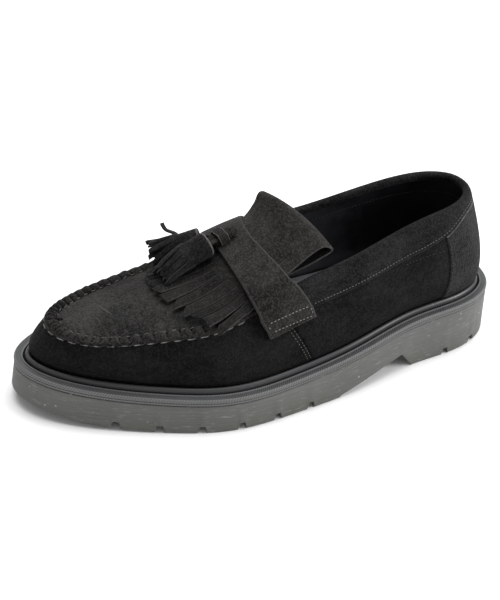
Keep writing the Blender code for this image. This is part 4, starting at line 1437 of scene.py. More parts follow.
@dataclass
class CollarBand:
    """The band that is turned over the topline."""

    last: Last
    thickness: float = 0.0012
    wall_thickness: float = 0.0018
    drops: tuple[Pair, ...] = (
        (0.0, 0.0044), (1.2, 0.0046), (1.55, 0.0052), (1.7, 0.0062), (1.87, 0.0078),
        (2.05, 0.0100), (2.2, 0.0120), (2.45, 0.0138), (2.8, 0.0150), (4.93, 0.0120),
    )
    turn_in: float = 0.0022
    front: float = 4.93
    over_from: float = 0.30
    over_to: float = 0.52
    stitch_end: float = 0.15
    stitch_rise: float = 0.0017 / 0.055
    stitch_lift: float = 0.0015
    inner_stitch_share: float = 1 - 0.0125 / 0.058
    stitch: StitchRow = StitchRow(0.0013, 0.0008, 0.00052, 0.0, 0.1)
    inner_stitch: StitchRow = StitchRow(0.0015, 0.0009, 0.0004)
    suede: Suede = Suede("collar suede", (0.0026, 0.0025, 0.0028), (0.0265, 0.0257, 0.0268), fuzz=0.11)

    def edge(self, where: Array) -> Array:
        """The share of the wall at which the band's lower edge lies."""
        rim = closed_spline(self.last.rim_rows, where)
        past = np.abs(np.where(where > self.last.turn / 2, where - self.last.turn, where))
        drop = np.interp(past, *np.array(self.drops).T)
        return 1 - drop / (rim[:, 2] - self.last.sizes.stand)

    def spots(self, where: Array, across: Array, through: Array) -> Array:
        """Points of the band: across runs from -1 at its outer edge over the rim to 1 inside."""
        gap = self.last.sizes.gap
        lift = gap + self.thickness * through
        edge = self.edge(where)
        rim = wall_point(self.last, where, 1.0, 0.0)
        out = unit(wall_point(self.last, where, 0.999, 0.001) - wall_point(self.last, where, 0.999, 0.0))
        up = unit(rim - wall_point(self.last, where, 0.9, 0.0))
        half = self.wall_thickness / 2
        angle = pi * np.clip((across - self.over_from) / (self.over_to - self.over_from), 0, 1)
        radius = (half + lift)[:, None]
        turn = out * np.cos(angle)[:, None] + up * np.sin(angle)[:, None]
        over = rim - out * half + up * gap + turn * radius
        down = np.clip((across - self.over_to) / (1 - self.over_to), 0, 1) * self.turn_in
        inside = over - up * down[:, None]
        share = edge + (1 - edge) * np.clip((across + 1) / (1 + self.over_from), 0, 1)
        outside = wall_point(self.last, where, share, lift)
        return np.where((across > self.over_from)[:, None], inside, outside)

    def build(self) -> None:
        """Makes the band, its row of stitches and the line of stitches inside."""
        shape = Shape("collar_band_dressed")
        loop = slab_loop(0.02, 40, 4)
        add_slab(shape, np.linspace(-self.front, self.front, 260), loop, self.spots, nose=0.02, edge_slot=1)
        shape.weld().finish(Slot.SUEDE, [self.suede, CutEdge()], ["collar_band"], sharp=60)
        threads = Shape("collar_stitches")
        where = np.linspace(-self.front + self.stitch_end, self.front - self.stitch_end, 700)
        share = self.edge(where) + self.stitch_rise
        self.stitch.sew(threads, *wall_line(self.last, where, share, self.stitch_lift))
        share = self.inner_stitch_share
        inner = wall_point(self.last, where, share, -self.wall_thickness - 0.0001)
        deeper = wall_point(self.last, where, share, -self.wall_thickness - 0.0011)
        self.inner_stitch.sew(threads, inner, (deeper - inner) / 0.001, 1)
        threads.finish(Slot.SUEDE, FINE_THREADS)


@dataclass
class Overlays:
    """The heel counter and the quarter, sewn over the wall below the collar band."""

    last: Last
    band: CollarBand
    counter_reach: float = 2.29
    quarter_top: float = 5.13
    quarter_foot: float = 4.74
    quarter_back: float = 1.9
    thickness: float = 0.0014
    quarter_thickness: float = 0.0007
    counter_bow: float = 0.085
    counter_inset: float = 0.035
    foot_share: float = 0.004
    band_gap: float = 0.010
    faint_span: Pair = (2.33, 3.20)
    faint_rise: Pair = (0.613, 0.655)
    quarter_insets: Pair = (0.035, 0.085)
    counter_suede: Suede = Suede(
        "counter suede", (0.0038, 0.0037, 0.0040), (0.0370, 0.0360, 0.0376), fuzz=0.15
    )
    # A darker copy of the suede for the quarters on the side walls: their shade is painted into it.
    quarter_suede: Suede = Suede(
        "quarter suede with painted shade", (0.0005, 0.0005, 0.0006), (0.0172, 0.0165, 0.0173), fuzz=0.05
    )
    stitch: StitchRow = StitchRow(0.0014, 0.0008, 0.0005, 0.0, 0.1)
    faint_stitch: StitchRow = StitchRow(0.0008, 0.0016, 0.0004)

    def counter_edge(self, across: Array) -> Array:
        """The counter's front edge, which bows back between its ends."""
        return self.counter_reach - self.counter_bow * (1 - np.asarray(across) ** 2)

    def quarter_edge(self, across: Array) -> Array:
        """The quarter's front edge, which leans forward to its top."""
        rise = (np.asarray(across, float) + 1) / 2
        return self.quarter_foot + (self.quarter_top - self.quarter_foot) * rise**0.95

    def quarter_ends(self, side: int) -> tuple[Callable[[Array], Array], Callable[[Array], Array]]:
        """The back and front edges of the quarter on one side of the foot.

        Args:
            side: 1 is the outer side, -1 the inner.

        Returns:
            Two functions of the place across the panel.
        """

        def back(across: Array) -> Array:
            """The edge that lies under the counter."""
            return side * np.full(np.shape(across), self.quarter_back)

        def front(across: Array) -> Array:
            """The edge behind the strap."""
            return side * self.quarter_edge(across)

        return back, front

    def below_band(self, where: Array) -> Array:
        """The share of the wall just under the band's edge."""
        return self.band.edge(where) - self.band_gap

    def foot(self, where: Array) -> Array:
        """The share of the wall just over the bead."""
        return np.full(np.shape(where), self.foot_share)

    def build(self) -> None:
        """Makes the counter, a quarter on each side and their seams."""
        gap = self.last.sizes.gap
        last, rows = self.last, (self.foot, self.below_band)
        ends = (lambda v: -self.counter_edge(v)), self.counter_edge
        dressed = last, "heel_counter_dressed", self.counter_suede, self.thickness, gap
        # The counter's edges take the pale edge: a painted highlight.
        WallPanel(*dressed, *rows, *ends, PALE_EDGE_HIGHLIGHT).build(["heel_counter"], 120)
        threads = Shape("quarter_stitches")
        dense = np.linspace(-0.97, 0.97, 120)
        for side in (1, -1):
            name = f"quarter_{'outer' if side > 0 else 'inner'}"
            dressed = last, name, self.quarter_suede, self.quarter_thickness, 0.0
            WallPanel(*dressed, *rows, *self.quarter_ends(side)).build((), 60)
            seams = [(self.counter_edge(dense) - self.counter_inset, gap + self.thickness, 1)]
            seams += [(self.quarter_edge(dense) + d, 0.0, 0) for d in self.quarter_insets]
            for where, lift, slot in seams:
                spot = side * where
                share = self.foot(spot) + (self.below_band(spot) - self.foot(spot)) * (dense + 1) / 2
                self.stitch.sew(threads, *wall_line(self.last, spot, share, lift), slot)
            spot = side * np.linspace(*self.faint_span, 60)
            low = wall_line(self.last, spot, np.linspace(*self.faint_rise, 60), self.quarter_thickness)
            self.faint_stitch.sew(threads, *low, 1)
        threads.finish(Slot.SUEDE, FINE_THREADS)


class StrapRow(NamedTuple):
    """The saddle strap at one place round the foot.

    around is 0 on the instep line, 1 at the rim and 2 at the foot of the wall; along is the strap's
    middle as a share of the sole's length; half is half its width as a share of its end width; lift is
    how far it lies over the upper, 1 where it bridges the tongue.
    """

    around: float
    along: float
    half: float
    lift: float


@dataclass
class SaddleStrap:
    """The strap across the instep, sewn down with a box of stitches at both ends."""

    last: Last
    thickness: float = 0.0022
    layer: float = 0.0017
    end_width: float = 0.030
    puff: float = 0.0003
    stitch_edge: float = 0.86
    stitch_box: Pair = (0.07, 0.205)
    stitch_lean: float = 0.03
    rows: tuple[StrapRow, ...] = (
        StrapRow(0.00, 0.568, 0.308, 1.00),
        StrapRow(0.12, 0.5677, 0.312, 1.00),
        StrapRow(0.28, 0.566, 0.325, 1.00),
        StrapRow(0.50, 0.562, 0.345, 1.00),
        StrapRow(0.85, 0.5507, 0.40, 1.00),
        StrapRow(1.00, 0.5415, 0.45, 1.00),
        StrapRow(1.12, 0.534, 0.49, 0.62),
        StrapRow(1.28, 0.524, 0.50, 0.50),
        StrapRow(1.35, 0.520, 0.50, 0.10),
        StrapRow(1.41, 0.517, 0.50, 0.00),
    )
    suede: Suede = Suede("strap suede", (0.0042, 0.0041, 0.0038), (0.0420, 0.0406, 0.0376), fuzz=0.2)

    def spots(self, around: Array, across: Array, through: Array) -> Array:
        """Points of the strap: around it from end to end, across it from its back edge to its front."""
        table = np.array(self.rows)
        at = [np.interp(np.abs(around), table[:, 0], table[:, i]) for i in (1, 2, 3)]
        middle, half = at[0] * self.last.sizes.length, at[1] * self.end_width
        lift = self.last.sizes.gap + at[2] * 2 * (self.layer + self.last.sizes.gap)
        low, high = self.last.section_at(middle - half), self.last.section_at(middle + half)
        where = low + (high - low) * (across + 1) / 2
        puff = self.puff * (1 - across**2)
        return self.last.on_skin(where, around, lift + (self.thickness + puff) * through)

    def line(self, around: Array, across: Array) -> tuple[Array, Array]:
        """A line over the strap with its normals."""
        one = np.ones_like(around)
        low, high = self.spots(around, across, one), self.spots(around, across, one * 1.4)
        normal = high - low
        return low, unit(normal)

    def build(self) -> None:
        """Makes the strap and its stitches."""
        shape = Shape("saddle_strap_dressed")
        reach = self.rows[-1].around
        loop = slab_loop(0.09, 22, 5)
        add_slab(shape, np.linspace(-reach, reach, 150), loop, self.spots, nose=0.03, edge_slot=1)
        shape.weld().finish(Slot.SUEDE, [self.suede, CutEdge()], ["saddle_strap"], sharp=60)
        threads = Shape("strap_stitches")
        row = StitchRow(0.0015, 0.0008, 0.00065, 0.0, 0.1)
        edge_at = self.stitch_edge
        sweep, flat = np.linspace(-edge_at, edge_at, 60), np.full(60, 1.0)
        for side in (1, -1):
            for inset in self.stitch_box:
                row.sew(threads, *self.line(side * (reach - inset - self.stitch_lean * sweep), sweep))
            down = np.linspace(reach - 0.20, reach - 0.075, 60)
            for edge in (-edge_at, edge_at):
                row.sew(threads, *self.line(side * (down - self.stitch_lean * edge), flat * edge))
        threads.finish(Slot.SUEDE, [Thread("strap thread", (0.21, 0.205, 0.195))])


class TongueRow(NamedTuple):
    """One row across the folded tongue, from its under layer round the fold to its upper layer.

    back and up are shares of the tongue's reach behind the throat and over its top; half is a share of
    its width; droop and sweep say how far both ends fall and lean back, lean and turn how far the outer
    end falls and the inner end comes forward.
    """

    back: float
    up: float
    half: float
    droop: float
    sweep: float
    lean: float
    turn: float


class Slit(NamedTuple):
    """One cut between two strips of the fringe.

    root and tip are its places round the foot at the strap and at the fringe's ends, 0 on the instep
    line and 1 at the rim; length is how far along the sole the strip on its inner side reaches.
    """

    root: float
    tip: float
    length: float


@dataclass
class Kiltie:
    """The tongue folded over behind the strap, with its fringe in front of the strap."""

    last: Last
    leather: float = 0.0014
    width: float = 0.057
    reach: float = 0.020
    ridge_height: float = 0.0022
    root: float = 0.170
    curl: float = 0.0024
    twist: float = 0.0007
    cup: float = 0.0003
    slits: tuple[Slit, ...] = (
        Slit(-0.940, -1.020, 0.000),
        Slit(-0.800, -0.880, 0.204),
        Slit(-0.660, -0.730, 0.209),
        Slit(-0.520, -0.580, 0.2145),
        Slit(-0.385, -0.430, 0.2185),
        Slit(-0.250, -0.285, 0.2213),
        Slit(-0.120, -0.140, 0.2226),
        Slit(-0.010, 0.030, 0.2232),
        Slit(0.085, 0.205, 0.2222),
        Slit(0.186, 0.395, 0.2205),
        Slit(0.373, 0.557, 0.2165),
        Slit(0.556, 0.709, 0.2130),
        Slit(0.677, 0.788, 0.2090),
        Slit(0.765, 0.958, 0.2040),
        Slit(0.924, 1.035, 0.1995),
    )
    cuts: tuple[Pair, ...] = (
        (-0.94, 0.1800), (0.00, 0.1860), (0.257, 0.1865), (0.427, 0.1833), (0.594, 0.1806),
        (0.813, 0.1783), (0.95, 0.1775),
    )
    rows: tuple[TongueRow, ...] = (
        TongueRow(0.30, 0.20, 0.490, 0.43, 0.02, 0.09, 0.24),
        TongueRow(0.60, 0.30, 0.485, 0.28, 0.00, 0.16, 0.38),
        TongueRow(0.79, 0.37, 0.480, 0.22, -0.03, 0.20, 0.44),
        TongueRow(0.85, 0.44, 0.480, 0.20, -0.04, 0.22, 0.46),
        TongueRow(0.78, 0.52, 0.480, 0.20, -0.04, 0.21, 0.44),
        TongueRow(0.60, 0.57, 0.480, 0.24, -0.03, 0.17, 0.38),
        TongueRow(0.30, 0.46, 0.490, 0.40, 0.02, 0.10, 0.22),
    )
    suede: Suede = Suede("kiltie suede", (0.0042, 0.0041, 0.0038), (0.0400, 0.0386, 0.0354), fuzz=0.2)
    fringe: Suede = Suede("fringe suede", (0.0026, 0.0025, 0.0024), (0.0270, 0.0261, 0.0247), fuzz=0.12)
    # The fold's inner face, near black: painted shade inside the fold.
    fold_inside_shade: Suede = Suede("fold inside painted shade", (0.0010, 0.0010, 0.0010), (0.0042, 0.0040, 0.0038), fuzz=0.0)

    def __post_init__(self) -> None:
        """Works out the tongue's spread on the upper."""
        ends = self.last.skin(np.array([self.last.sizes.throat] * 2), np.array([1.0, -1.0]))
        self.spread = self.width / float(np.linalg.norm(ends[0] - ends[1]))

    def layer(self) -> float:
        """Lift of the upper layer's outer face over the upper."""
        return 3 * self.last.sizes.gap + 2 * self.leather

    def path(self, columns: Array) -> Array:
        """Points down the tongue's outer face, one row of columns after another."""
        last, throat = self.last, self.last.sizes.throat
        top = last.skin(np.array([throat]), np.array([0.0]))[0]
        flat = np.ones_like(columns)

        def on_top(steps: Sequence[float], lift: float) -> list[Array]:
            """Rows on the upper, at steps in front of the throat."""
            return [last.on_skin((throat + step) * flat, self.spread * columns, lift) for step in steps]

        rows = on_top((0.5, 0.25, 0.0), 2 * last.sizes.gap)
        for row in self.rows:
            fall = row.droop * columns**2 + row.lean * columns
            x = row.half * columns * self.width
            y = (row.back + row.sweep * columns**2 + row.turn * columns) * self.reach
            rows.append(top + np.stack([x, y, (row.up - fall) * self.reach], 1))
        return np.array(rows + on_top((0.05, 0.25, 0.62), self.layer()))

    def fold(self, along: Array, across: Array, through: Array) -> Array:
        """Points of the folded part: along runs down the rows of the path."""
        columns = np.unique(across)
        table = self.path(columns)
        which = np.searchsorted(columns, across)

        def read(at: Array, shift: Array) -> Array:
            """The path's points at places along it, in neighbouring columns."""
            smooth = open_spline(table.reshape(len(table), -1), at).reshape(len(at), len(columns), 3)
            return smooth[np.arange(len(at)), np.clip(which + shift, 0, len(columns) - 1)]

        run = read(along + 0.05, 0) - read(along - 0.05, 0)
        over = read(along, 1) - read(along, -1)
        out = np.cross(over, run)
        out /= np.maximum(np.linalg.norm(out, axis=1), 1e-12)[:, None]
        return read(along, 0) + out * ((through - 1) * self.leather)[:, None]

    def bed(self, where: Array, around: Array) -> Array:
        """How high the fringe lies over the upper, also where it crosses the seam."""
        ridge = self.ridge_height * smoothstep(0.76, 0.88, np.abs(around)) * smoothstep(5.55, 5.95, where)
        return 2 * self.last.sizes.gap + 0.0002 + ridge

    def strip(self, number: int, rng: np.random.Generator) -> Callable[[Array, Array, Array], Array]:
        """The surface of one strip of the fringe.

        Args:
            number: Which strip, from the inner side.
            rng: Gives its small irregularities.

        Returns:
            A function of places along, across and through.
        """
        last, left, right = self.last, self.slits[number], self.slits[number + 1]
        curl, skew = rng.uniform(0.1, 0.9), rng.uniform(0.020, 0.045) * rng.choice([-1.0, 1.0])
        point, twist = rng.uniform(0.0, 0.030), rng.uniform(-0.6, 0.6)

        def spots(along: Array, across: Array, through: Array) -> Array:
            """Points of the strip."""
            tip = smoothstep(0.70, 1.0, along)
            reach = along * (1 - point * across**2 * tip + skew * across * tip)
            loose = smoothstep(0.25, 1.0, reach)
            share = (across * (1 - 0.012 - 0.07 * loose - 0.02 * tip) + 1) / 2
            low = left.root + (left.tip - left.root) * reach
            high = right.root + (right.tip - right.root) * reach
            around = low + (high - low) * share
            where = last.section_at(self.root + (right.length - self.root) * reach)
            raise_up = curl * self.curl * loose**2 + twist * across * self.twist * loose
            raise_up += self.cup * across**2 * loose
            lift = self.bed(where, around) + np.maximum(raise_up, 0)
            return last.on_skin(where, around, lift + self.leather * (through + 0.4 * (1 - loose)))

        return spots

    def flap(self, along: Array, across: Array, through: Array) -> Array:
        """Points of the uncut leather behind the slits; its front end dips under the strips."""
        last, share = self.last, (across + 1) / 2
        left, right = self.slits[0], self.slits[-1]
        at_root = left.root + (right.root - left.root) * share
        table = np.array(self.cuts)
        spot = self.root + (np.interp(at_root, table[:, 0], table[:, 1]) + 0.0012 - self.root) * along
        reach = (spot - self.root) / (right.length - self.root)
        low, high = (slit.root + (slit.tip - slit.root) * reach for slit in (left, right))
        around, where = low + (high - low) * share, last.section_at(spot)
        dip = 0.00012 - 0.0010 * smoothstep(0.78, 1.0, along)
        lift = self.bed(where, around) + dip + self.leather * (through + 0.4)
        return last.on_skin(where, around, lift)

    def build(self) -> None:
        """Makes the fold, the uncut flap and the strips of the fringe."""
        shape = Shape("kiltie_dressed")
        last_row = len(self.rows) + 5.0
        turns = np.linspace(3, 10, 50)[1:], np.linspace(10, last_row, 12)[1:]
        along = np.concatenate([np.linspace(0, 3, 10), *turns])
        loop, wide_loop, strip_loop = slab_loop(0.022, 34, 4), slab_loop(0.02, 60, 4), slab_loop(0.16, 6, 4)
        # Slot 3, the fold's near-black inner face, is painted shade.
        add_slab(shape, along, loop, self.fold, nose=0.1, slot=3, edge_slot=1, under_slot=0)
        add_slab(shape, np.linspace(0.0, 1.0, 16), wide_loop, self.flap, nose=0.02, slot=2, edge_slot=1)
        rng = np.random.default_rng(21)
        for number in range(len(self.slits) - 1):
            strip = self.strip(number, rng)
            add_slab(shape, np.linspace(0.0, 1.0, 34), strip_loop, strip, nose=0.012, slot=2, edge_slot=1)
        finishes = [self.suede, CutEdge(), self.fringe, self.fold_inside_shade]
        shape.weld().finish(Slot.SUEDE, finishes, ["kiltie"], sharp=60)


class TasselEnd(NamedTuple):
    """One end of a tassel's middle line.

    along is a share of the sole's length, around is 0 on the instep line and 1 at the outer rim, and
    lift is the height over the upper as a share of the tassel's radius.
    """

    along: float
    around: float
    lift: float


@dataclass
class Tassel:
    """A rolled fringe: a smooth cap, and strands that part below it."""

    last: Last
    name: str
    node: str
    ends: tuple[TasselEnd, TasselEnd]
    radius: float = 0.0074
    cap: float = 0.0135
    rings: tuple[tuple[float, int], ...] = ((0.93, 9), (0.50, 5))
    strand_lengths: Pair = (0.90, 1.05)
    strand_twist: float = 0.35
    splay: float = 0.06
    seed: int = 3
    droop: float = 0.0035
    strand_thickness: float = 0.00068
    profile: tuple[Pair, ...] = (
        (0.0, 0.0022), (0.30, 0.0022), (0.33, 0.0003), (0.62, 0.0002), (0.65, 0.0014), (0.70, 0.0014),
        (0.73, 0.0), (0.93, 0.0), (0.985, 0.0004), (1.0, 0.0011), (1.0, 0.0030), (0.985, 0.0075),
    )
    cap_foot: tuple[Pair, ...] = ((0.99, 0.0), (0.90, 0.0006), (0.55, 0.0006), (0.0, 0.0006))
    suede: Suede = Suede("tassel suede", (0.0022, 0.0021, 0.0021), (0.0260, 0.0251, 0.0240), fuzz=0.13)

    def line(self) -> tuple[Array, Array, Array, Array, Array]:
        """The cap's top, the tip, and unit vectors along, across and above the tassel."""
        where = self.last.section_at(np.array([e.along for e in self.ends]) * self.last.sizes.length)
        around, lift = (np.array([getattr(e, n) for e in self.ends]) for n in ("around", "lift"))
        top, tip = self.last.on_skin(where, around, lift * self.radius)
        along = (tip - top) / np.linalg.norm(tip - top)
        across = unit(np.cross(along, (0.0, 0.0, 1.0)))
        return top, tip, along, across, np.cross(across, along)

    def rest_on_apron(self, spots: Array, clearance: float) -> Array:
        """Lifts points that would lie in the apron."""
        plan = np.stack([spots[:, 0] + self.last.centre, self.last.sizes.length / 2 - spots[:, 1]], 1)
        where = self.last.section_at(plan[:, 1])
        outer = closed_spline(self.last.rim_rows, where)
        inner = closed_spline(self.last.rim_rows, self.last.turn - where)
        half = np.maximum((outer[:, 0] - inner[:, 0]) / 2, 1e-4)
        around = np.clip((plan[:, 0] - (outer[:, 0] + inner[:, 0]) / 2) / half, -1, 1)
        _, height = self.last.apron(where, around)
        lifted = spots.copy()
        lifted[:, 2] = np.maximum(spots[:, 2], height + clearance)
        return lifted

    def build(self) -> None:
        """Makes the cap with its rolled layers, then the strands."""
        top, tip, along, across, above = self.line()
        full = float(np.linalg.norm(tip - top))
        rng = np.random.default_rng(self.seed)
        shape = Shape(self.name)
        profile = np.array([*self.profile, *((radius, self.cap + below) for radius, below in self.cap_foot)])

        def cap_spots(u: Array, v: Array) -> Array:
            """Points of the cap: u goes round it, v down its profile."""
            ring = profile[v.astype(int)]
            wobble = 1 + 0.018 * np.sin(3 * u + self.seed) + 0.012 * np.sin(5 * u)
            radius = ring[:, 0] * self.radius * wobble
            spot = top + along * ring[:, 1:2] + across * (radius * np.cos(u))[:, None]
            return spot + above * (radius * 0.97 * np.sin(u))[:, None]

        # The cap's rim takes the pale edge: a painted highlight over its cut edge.
        shape.sheet(
            np.linspace(0, 2 * pi, 49), np.arange(len(profile), dtype=float), cap_spots,
            lambda v: 2 if 7 < v < 9 else 1 if v < 8 else 0,
        )
        for ring, count in self.rings:
            for k in range(count):
                angle = 2 * pi * (k + 0.5 + rng.uniform(-0.08, 0.08)) / count
                out = across * cos(angle) + above * sin(angle)
                length = full * rng.uniform(*self.strand_lengths)
                wander = rng.uniform(-0.8, 0.8) * 0.0040 * self.splay
                steps = np.linspace(0, 1, 13)
                reach = self.cap * 0.92 + (length - self.cap * 0.92) * steps
                spread = self.radius * (ring + (self.splay - 0.10) * steps**1.5)
                fall = self.droop * steps**2
                path = top + along * reach[:, None]
                aside = spread * cos(angle) * (1 + 0.9 * self.splay * steps) + wander * np.sin(3 * steps)
                path = path + across * aside[:, None]
                path = path + above * (spread * sin(angle) * (1 - 0.30 * steps) - fall)[:, None]
                path = self.rest_on_apron(path, 0.0030 + 0.0009 * (k % 3))
                side = unit(np.cross(out, along))
                turn = rng.uniform(-self.strand_twist, self.strand_twist) * steps[:, None]
                wide = side * np.cos(turn) + out * np.sin(turn)
                thick = out * np.cos(turn) - side * np.sin(turn)
                slim = np.where(steps < 0.99, 1.0, 0.75)[:, None]
                half = pi * self.radius * ring / count * (0.97 - 0.24 * smoothstep(0.05, 0.5, steps)[:, None])
                add_tube(shape, path, wide * half * slim, thick * self.strand_thickness * slim, 0.4, 12, 0, 1)
        shape.weld().finish(Slot.SUEDE, [self.suede, CutEdge(), PALE_EDGE_HIGHLIGHT], [self.node], sharp=55)


@dataclass
class TasselTies:
    """The thongs on the strap, the band wrapped round them and the ends that hold the tassels."""

    last: Last
    strap: SaddleStrap
    tassels: tuple[Tassel, Tassel]
    thong_width: float = 0.0040
    thong_thickness: float = 0.0016
    wrap_width: float = 0.0092
    wrap_height: float = 0.0064
    thongs: tuple[Point, ...] = ((-0.0024, 0.5515, 0.0), (0.0024, 0.5560, 0.0004))
    thong_end: float = 0.598
    link_places: Pair = (-0.0011, 0.0013)
    wrap_at: float = 0.5830
    wrap_lean: float = -0.12
    cord_radius: float = 0.00028
    around: float = -0.21
    lace: tuple[Point, ...] = (
        (-0.0366, -0.0453, 0.0722), (-0.0383, -0.0467, 0.0736), (-0.0413, -0.0508, 0.0748),
        (-0.0434, -0.0522, 0.0767), (-0.0446, -0.0525, 0.0780),
    )
    suede: Suede = Suede("thong suede", (0.0062, 0.0060, 0.0057), (0.0310, 0.0300, 0.0280), fuzz=0.18)

    def over_strap(self, along: Array, aside: Array, lift: Array) -> Array:
        """Points over the strap's middle: along is a share of the sole's length, aside is in metres."""
        where = self.last.section_at(along * self.last.sizes.length)
        base = self.last.sizes.gap + 2 * (self.strap.layer + self.last.sizes.gap) + self.strap.thickness
        flat = np.full_like(where, self.around)
        spots = self.last.on_skin(where, flat, base + lift)
        side = unit(self.last.skin(where, flat + 0.05) - self.last.skin(where, flat - 0.05))
        return spots + side * np.asarray(aside)[:, None]

    def strand(self, shape: Shape, path: Array, width: float, thickness: float) -> None:
        """Adds a flat strip along a path, lying level across it."""
        run = unit(np.gradient(path, axis=0))
        level = unit(np.cross(run, (0.0, 0.0, 1.0)))
        add_tube(shape, path, level * width / 2, np.cross(level, run) * thickness / 2, 0.4, 14)

    def wrap(self, shape: Shape) -> None:
        """Adds the band round the thongs, with a pale cord along each rim."""
        angle = np.linspace(0, 2 * pi, 41)
        wide = self.wrap_width / 2 * np.sign(np.cos(angle)) * np.abs(np.cos(angle)) ** 0.6
        high = self.wrap_height / 2 * (1 + np.sign(np.sin(angle)) * np.abs(np.sin(angle)) ** 0.6)
        path = self.over_strap(self.wrap_at + self.wrap_lean * wide / self.last.sizes.length, wide, high)
        out = unit(path - path.mean(0))
        run = unit(np.gradient(path, axis=0))
        side = np.cross(run, out)
        up = np.cross(side, run)
        add_tube(shape, path, side * 0.0027, up * 0.0009, 0.35, 14)
        # Pale cords along the rims: painted highlights.
        for rim in (-0.0027, 0.0027):
            cord = path + side * rim + out * 0.0007
            add_tube(shape, cord, side * self.cord_radius, up * self.cord_radius, 1.0, 8, 1)

    def build(self) -> None:
        """Makes the two thongs, the wrap, the links to the caps and the curled lace end."""
        shape = Shape("tassel_ties")
        steps = np.linspace(0, 1, 20)
        thong = self.thong_thickness
        for aside, start, level in self.thongs:
            along = start + (self.thong_end - start) * steps
            rise = 0.0012 * smoothstep(0.5, 0.0, steps) * (1 if aside > 0 else 0.4)
            lift = thong / 2 + level + rise + 0.0006
            shift = aside * (1 - 0.30 * smoothstep(0.2, 0.9, steps)) * np.ones_like(steps)
            self.strand(shape, self.over_strap(along, shift, lift), self.thong_width, thong)
            upper_layer = self.over_strap(along[4:], shift[4:], lift[4:] + thong)
            self.strand(shape, upper_layer, self.thong_width * 0.92, thong)
        self.wrap(shape)
        knot = self.over_strap(np.array([0.592]), np.zeros(1), np.array([0.003]))[0]
        for tassel in self.tassels:
            top, _, along_tassel, _, _ = tassel.line()
            for aside in self.link_places:
                bend = top - along_tassel * 0.006 + np.array([aside, 0.0, 0.0015])
                share = steps[:, None]
                in_cap = top + along_tassel * 0.004
                path = knot * (1 - share) ** 2 + bend * 2 * share * (1 - share) + in_cap * share**2
                path[:, 0] += aside
                self.strand(shape, path, self.thong_width * 0.8, thong * 0.9)
        path = open_spline(np.array(self.lace), np.linspace(0, len(self.lace) - 1, 24))
        self.strand(shape, path, self.thong_width * 0.6, thong * 0.8)
        finishes = [self.suede, PALE_EDGE_HIGHLIGHT]
        shape.weld().finish(Slot.SUEDE, finishes, ["tassel_knot", "tassel_thong"], sharp=55)


@dataclass
class Insole:
    """The insole keeps its CAD shape and gets its lining leather."""

    finish: SmoothLeather = SmoothLeather(
        "insole leather",
        (0.0052, 0.0053, 0.0066),
        # A pale patch of painted light on the insole, where light falls in through the throat.
        painted_light_patch=(-0.022, 0.020, 0.028, 0.060),
        pale=(0.16, 0.163, 0.17),
    )

    def dress(self) -> None:
        """Puts the leather in the CAD node's slot."""
        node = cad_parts["insole"]
        node.data.materials.clear()
        node.data.materials.append(self.finish.material())
        log.info("insole: dressed")


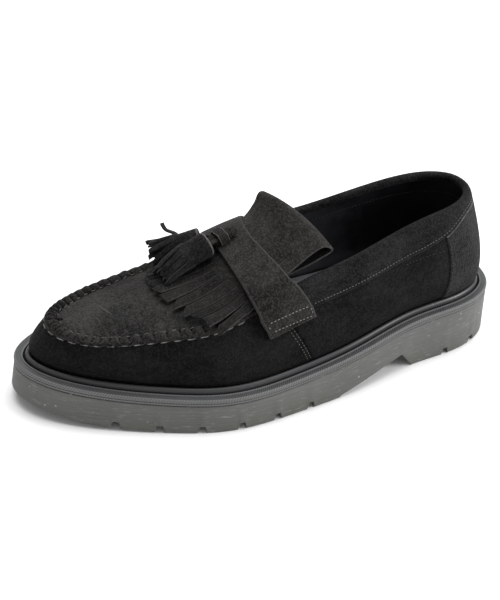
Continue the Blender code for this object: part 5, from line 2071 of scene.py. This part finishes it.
@dataclass
class Studio:
    """The pale floor, the soft lights and the camera of the photograph."""

    target: Point = (-0.02986, 0.00128, 0.02155)
    azimuth: float = 63.82
    elevation: float = 35.09
    roll: float = 4.91
    distance: float = 0.7189
    lens: float = 70.14
    sensor: float = 36.0
    surroundings: float = 0.45
    lights: tuple[tuple[str, Point, float, float], ...] = (
        ("softbox overhead", (-0.5, 0.2, 2.2), 2.0, 62),
        ("softbox behind the heel", (0.9, 1.7, 0.9), 0.9, 29),
    )

    def floor(self) -> None:
        """A plain white floor under the shoe."""
        shape = bmesh.new()
        bmesh.ops.create_circle(shape, cap_ends=True, segments=64, radius=3.0)
        mesh = bpy.data.meshes.new("floor")
        shape.to_mesh(mesh)
        shape.free()
        floor = bpy.data.objects.new("floor", mesh)
        bpy.context.scene.collection.objects.link(floor)
        paint = bpy.data.materials.new("white floor")
        paint.use_nodes = True
        shader = paint.node_tree.nodes["Principled BSDF"]
        shader.inputs["Base Color"].default_value = (0.93, 0.93, 0.93, 1.0)
        shader.inputs["Roughness"].default_value = 0.9
        shader.inputs["Specular IOR Level"].default_value = 0.1
        mesh.materials.append(paint)

    def light(self, name: str, spot: Sequence[float], size: float, power: float) -> None:
        """Adds one soft area light that points at the shoe.

        Args:
            name: Its name.
            spot: Where it hangs.
            size: Its side.
            power: Its power in watts.
        """
        data = bpy.data.lights.new(name, "AREA")
        data.shape, data.size, data.energy = "SQUARE", size, power
        lamp = bpy.data.objects.new(name, data)
        lamp.location = spot
        lamp.rotation_euler = (Vector((0, 0, 0.03)) - Vector(spot)).to_track_quat("-Z", "Y").to_euler()
        bpy.context.scene.collection.objects.link(lamp)

    def build(self) -> None:
        """Makes the floor, the lights, the white surroundings and the camera."""
        self.floor()
        for light in self.lights:
            self.light(*light)
        world = bpy.data.worlds.new("white studio")
        world.use_nodes = True
        background = world.node_tree.nodes["Background"]
        background.inputs["Color"].default_value = (1.0, 1.0, 1.0, 1.0)
        background.inputs["Strength"].default_value = self.surroundings
        bpy.context.scene.world = world
        bpy.context.scene.view_settings.view_transform = "Standard"
        data = bpy.data.cameras.new("camera")
        data.lens, data.sensor_width, data.sensor_fit = self.lens, self.sensor, "AUTO"
        camera = bpy.data.objects.new("camera", data)
        az, el, roll = (radians(a) for a in (self.azimuth, self.elevation, self.roll))
        back = Vector((sin(az) * cos(el), -cos(az) * cos(el), sin(el)))
        level = Vector((cos(az), sin(az), 0))
        up = back.cross(level)
        right = level * cos(roll) + up * sin(roll)
        upright = up * cos(roll) - level * sin(roll)
        turn = Matrix((right, upright, back)).transposed().to_4x4()
        camera.matrix_world = Matrix.Translation(Vector(self.target) + back * self.distance) @ turn
        bpy.context.scene.collection.objects.link(camera)
        bpy.context.scene.camera = camera


def main() -> None:
    """Builds the shoe over its frame and reports each piece."""
    logging.basicConfig(level=logging.INFO, format="%(name)s %(message)s")
    last = Last()
    SoleUnit(last).build()
    Welt(last).build()
    Insole().dress()
    Upper(last).build()
    band = CollarBand(last)
    band.build()
    Overlays(last, band).build()
    strap = SaddleStrap(last)
    strap.build()
    Kiltie(last).build()
    outer_ends = TasselEnd(0.6120, -0.16, 1.55), TasselEnd(0.7210, -0.08, 1.25)
    inner_ends = TasselEnd(0.6100, -0.50, 1.00), TasselEnd(0.7080, -0.76, 1.00)
    tassels = (
        Tassel(last, "tassel_outer_dressed", "tassel_outer", outer_ends, seed=3),
        Tassel(last, "tassel_inner_dressed", "tassel_inner", inner_ends, splay=0.62, seed=8),
    )
    for tassel in tassels:
        tassel.build()
    TasselTies(last, strap, tassels).build()
    Studio().build()


if __name__ == "__main__":
    main()
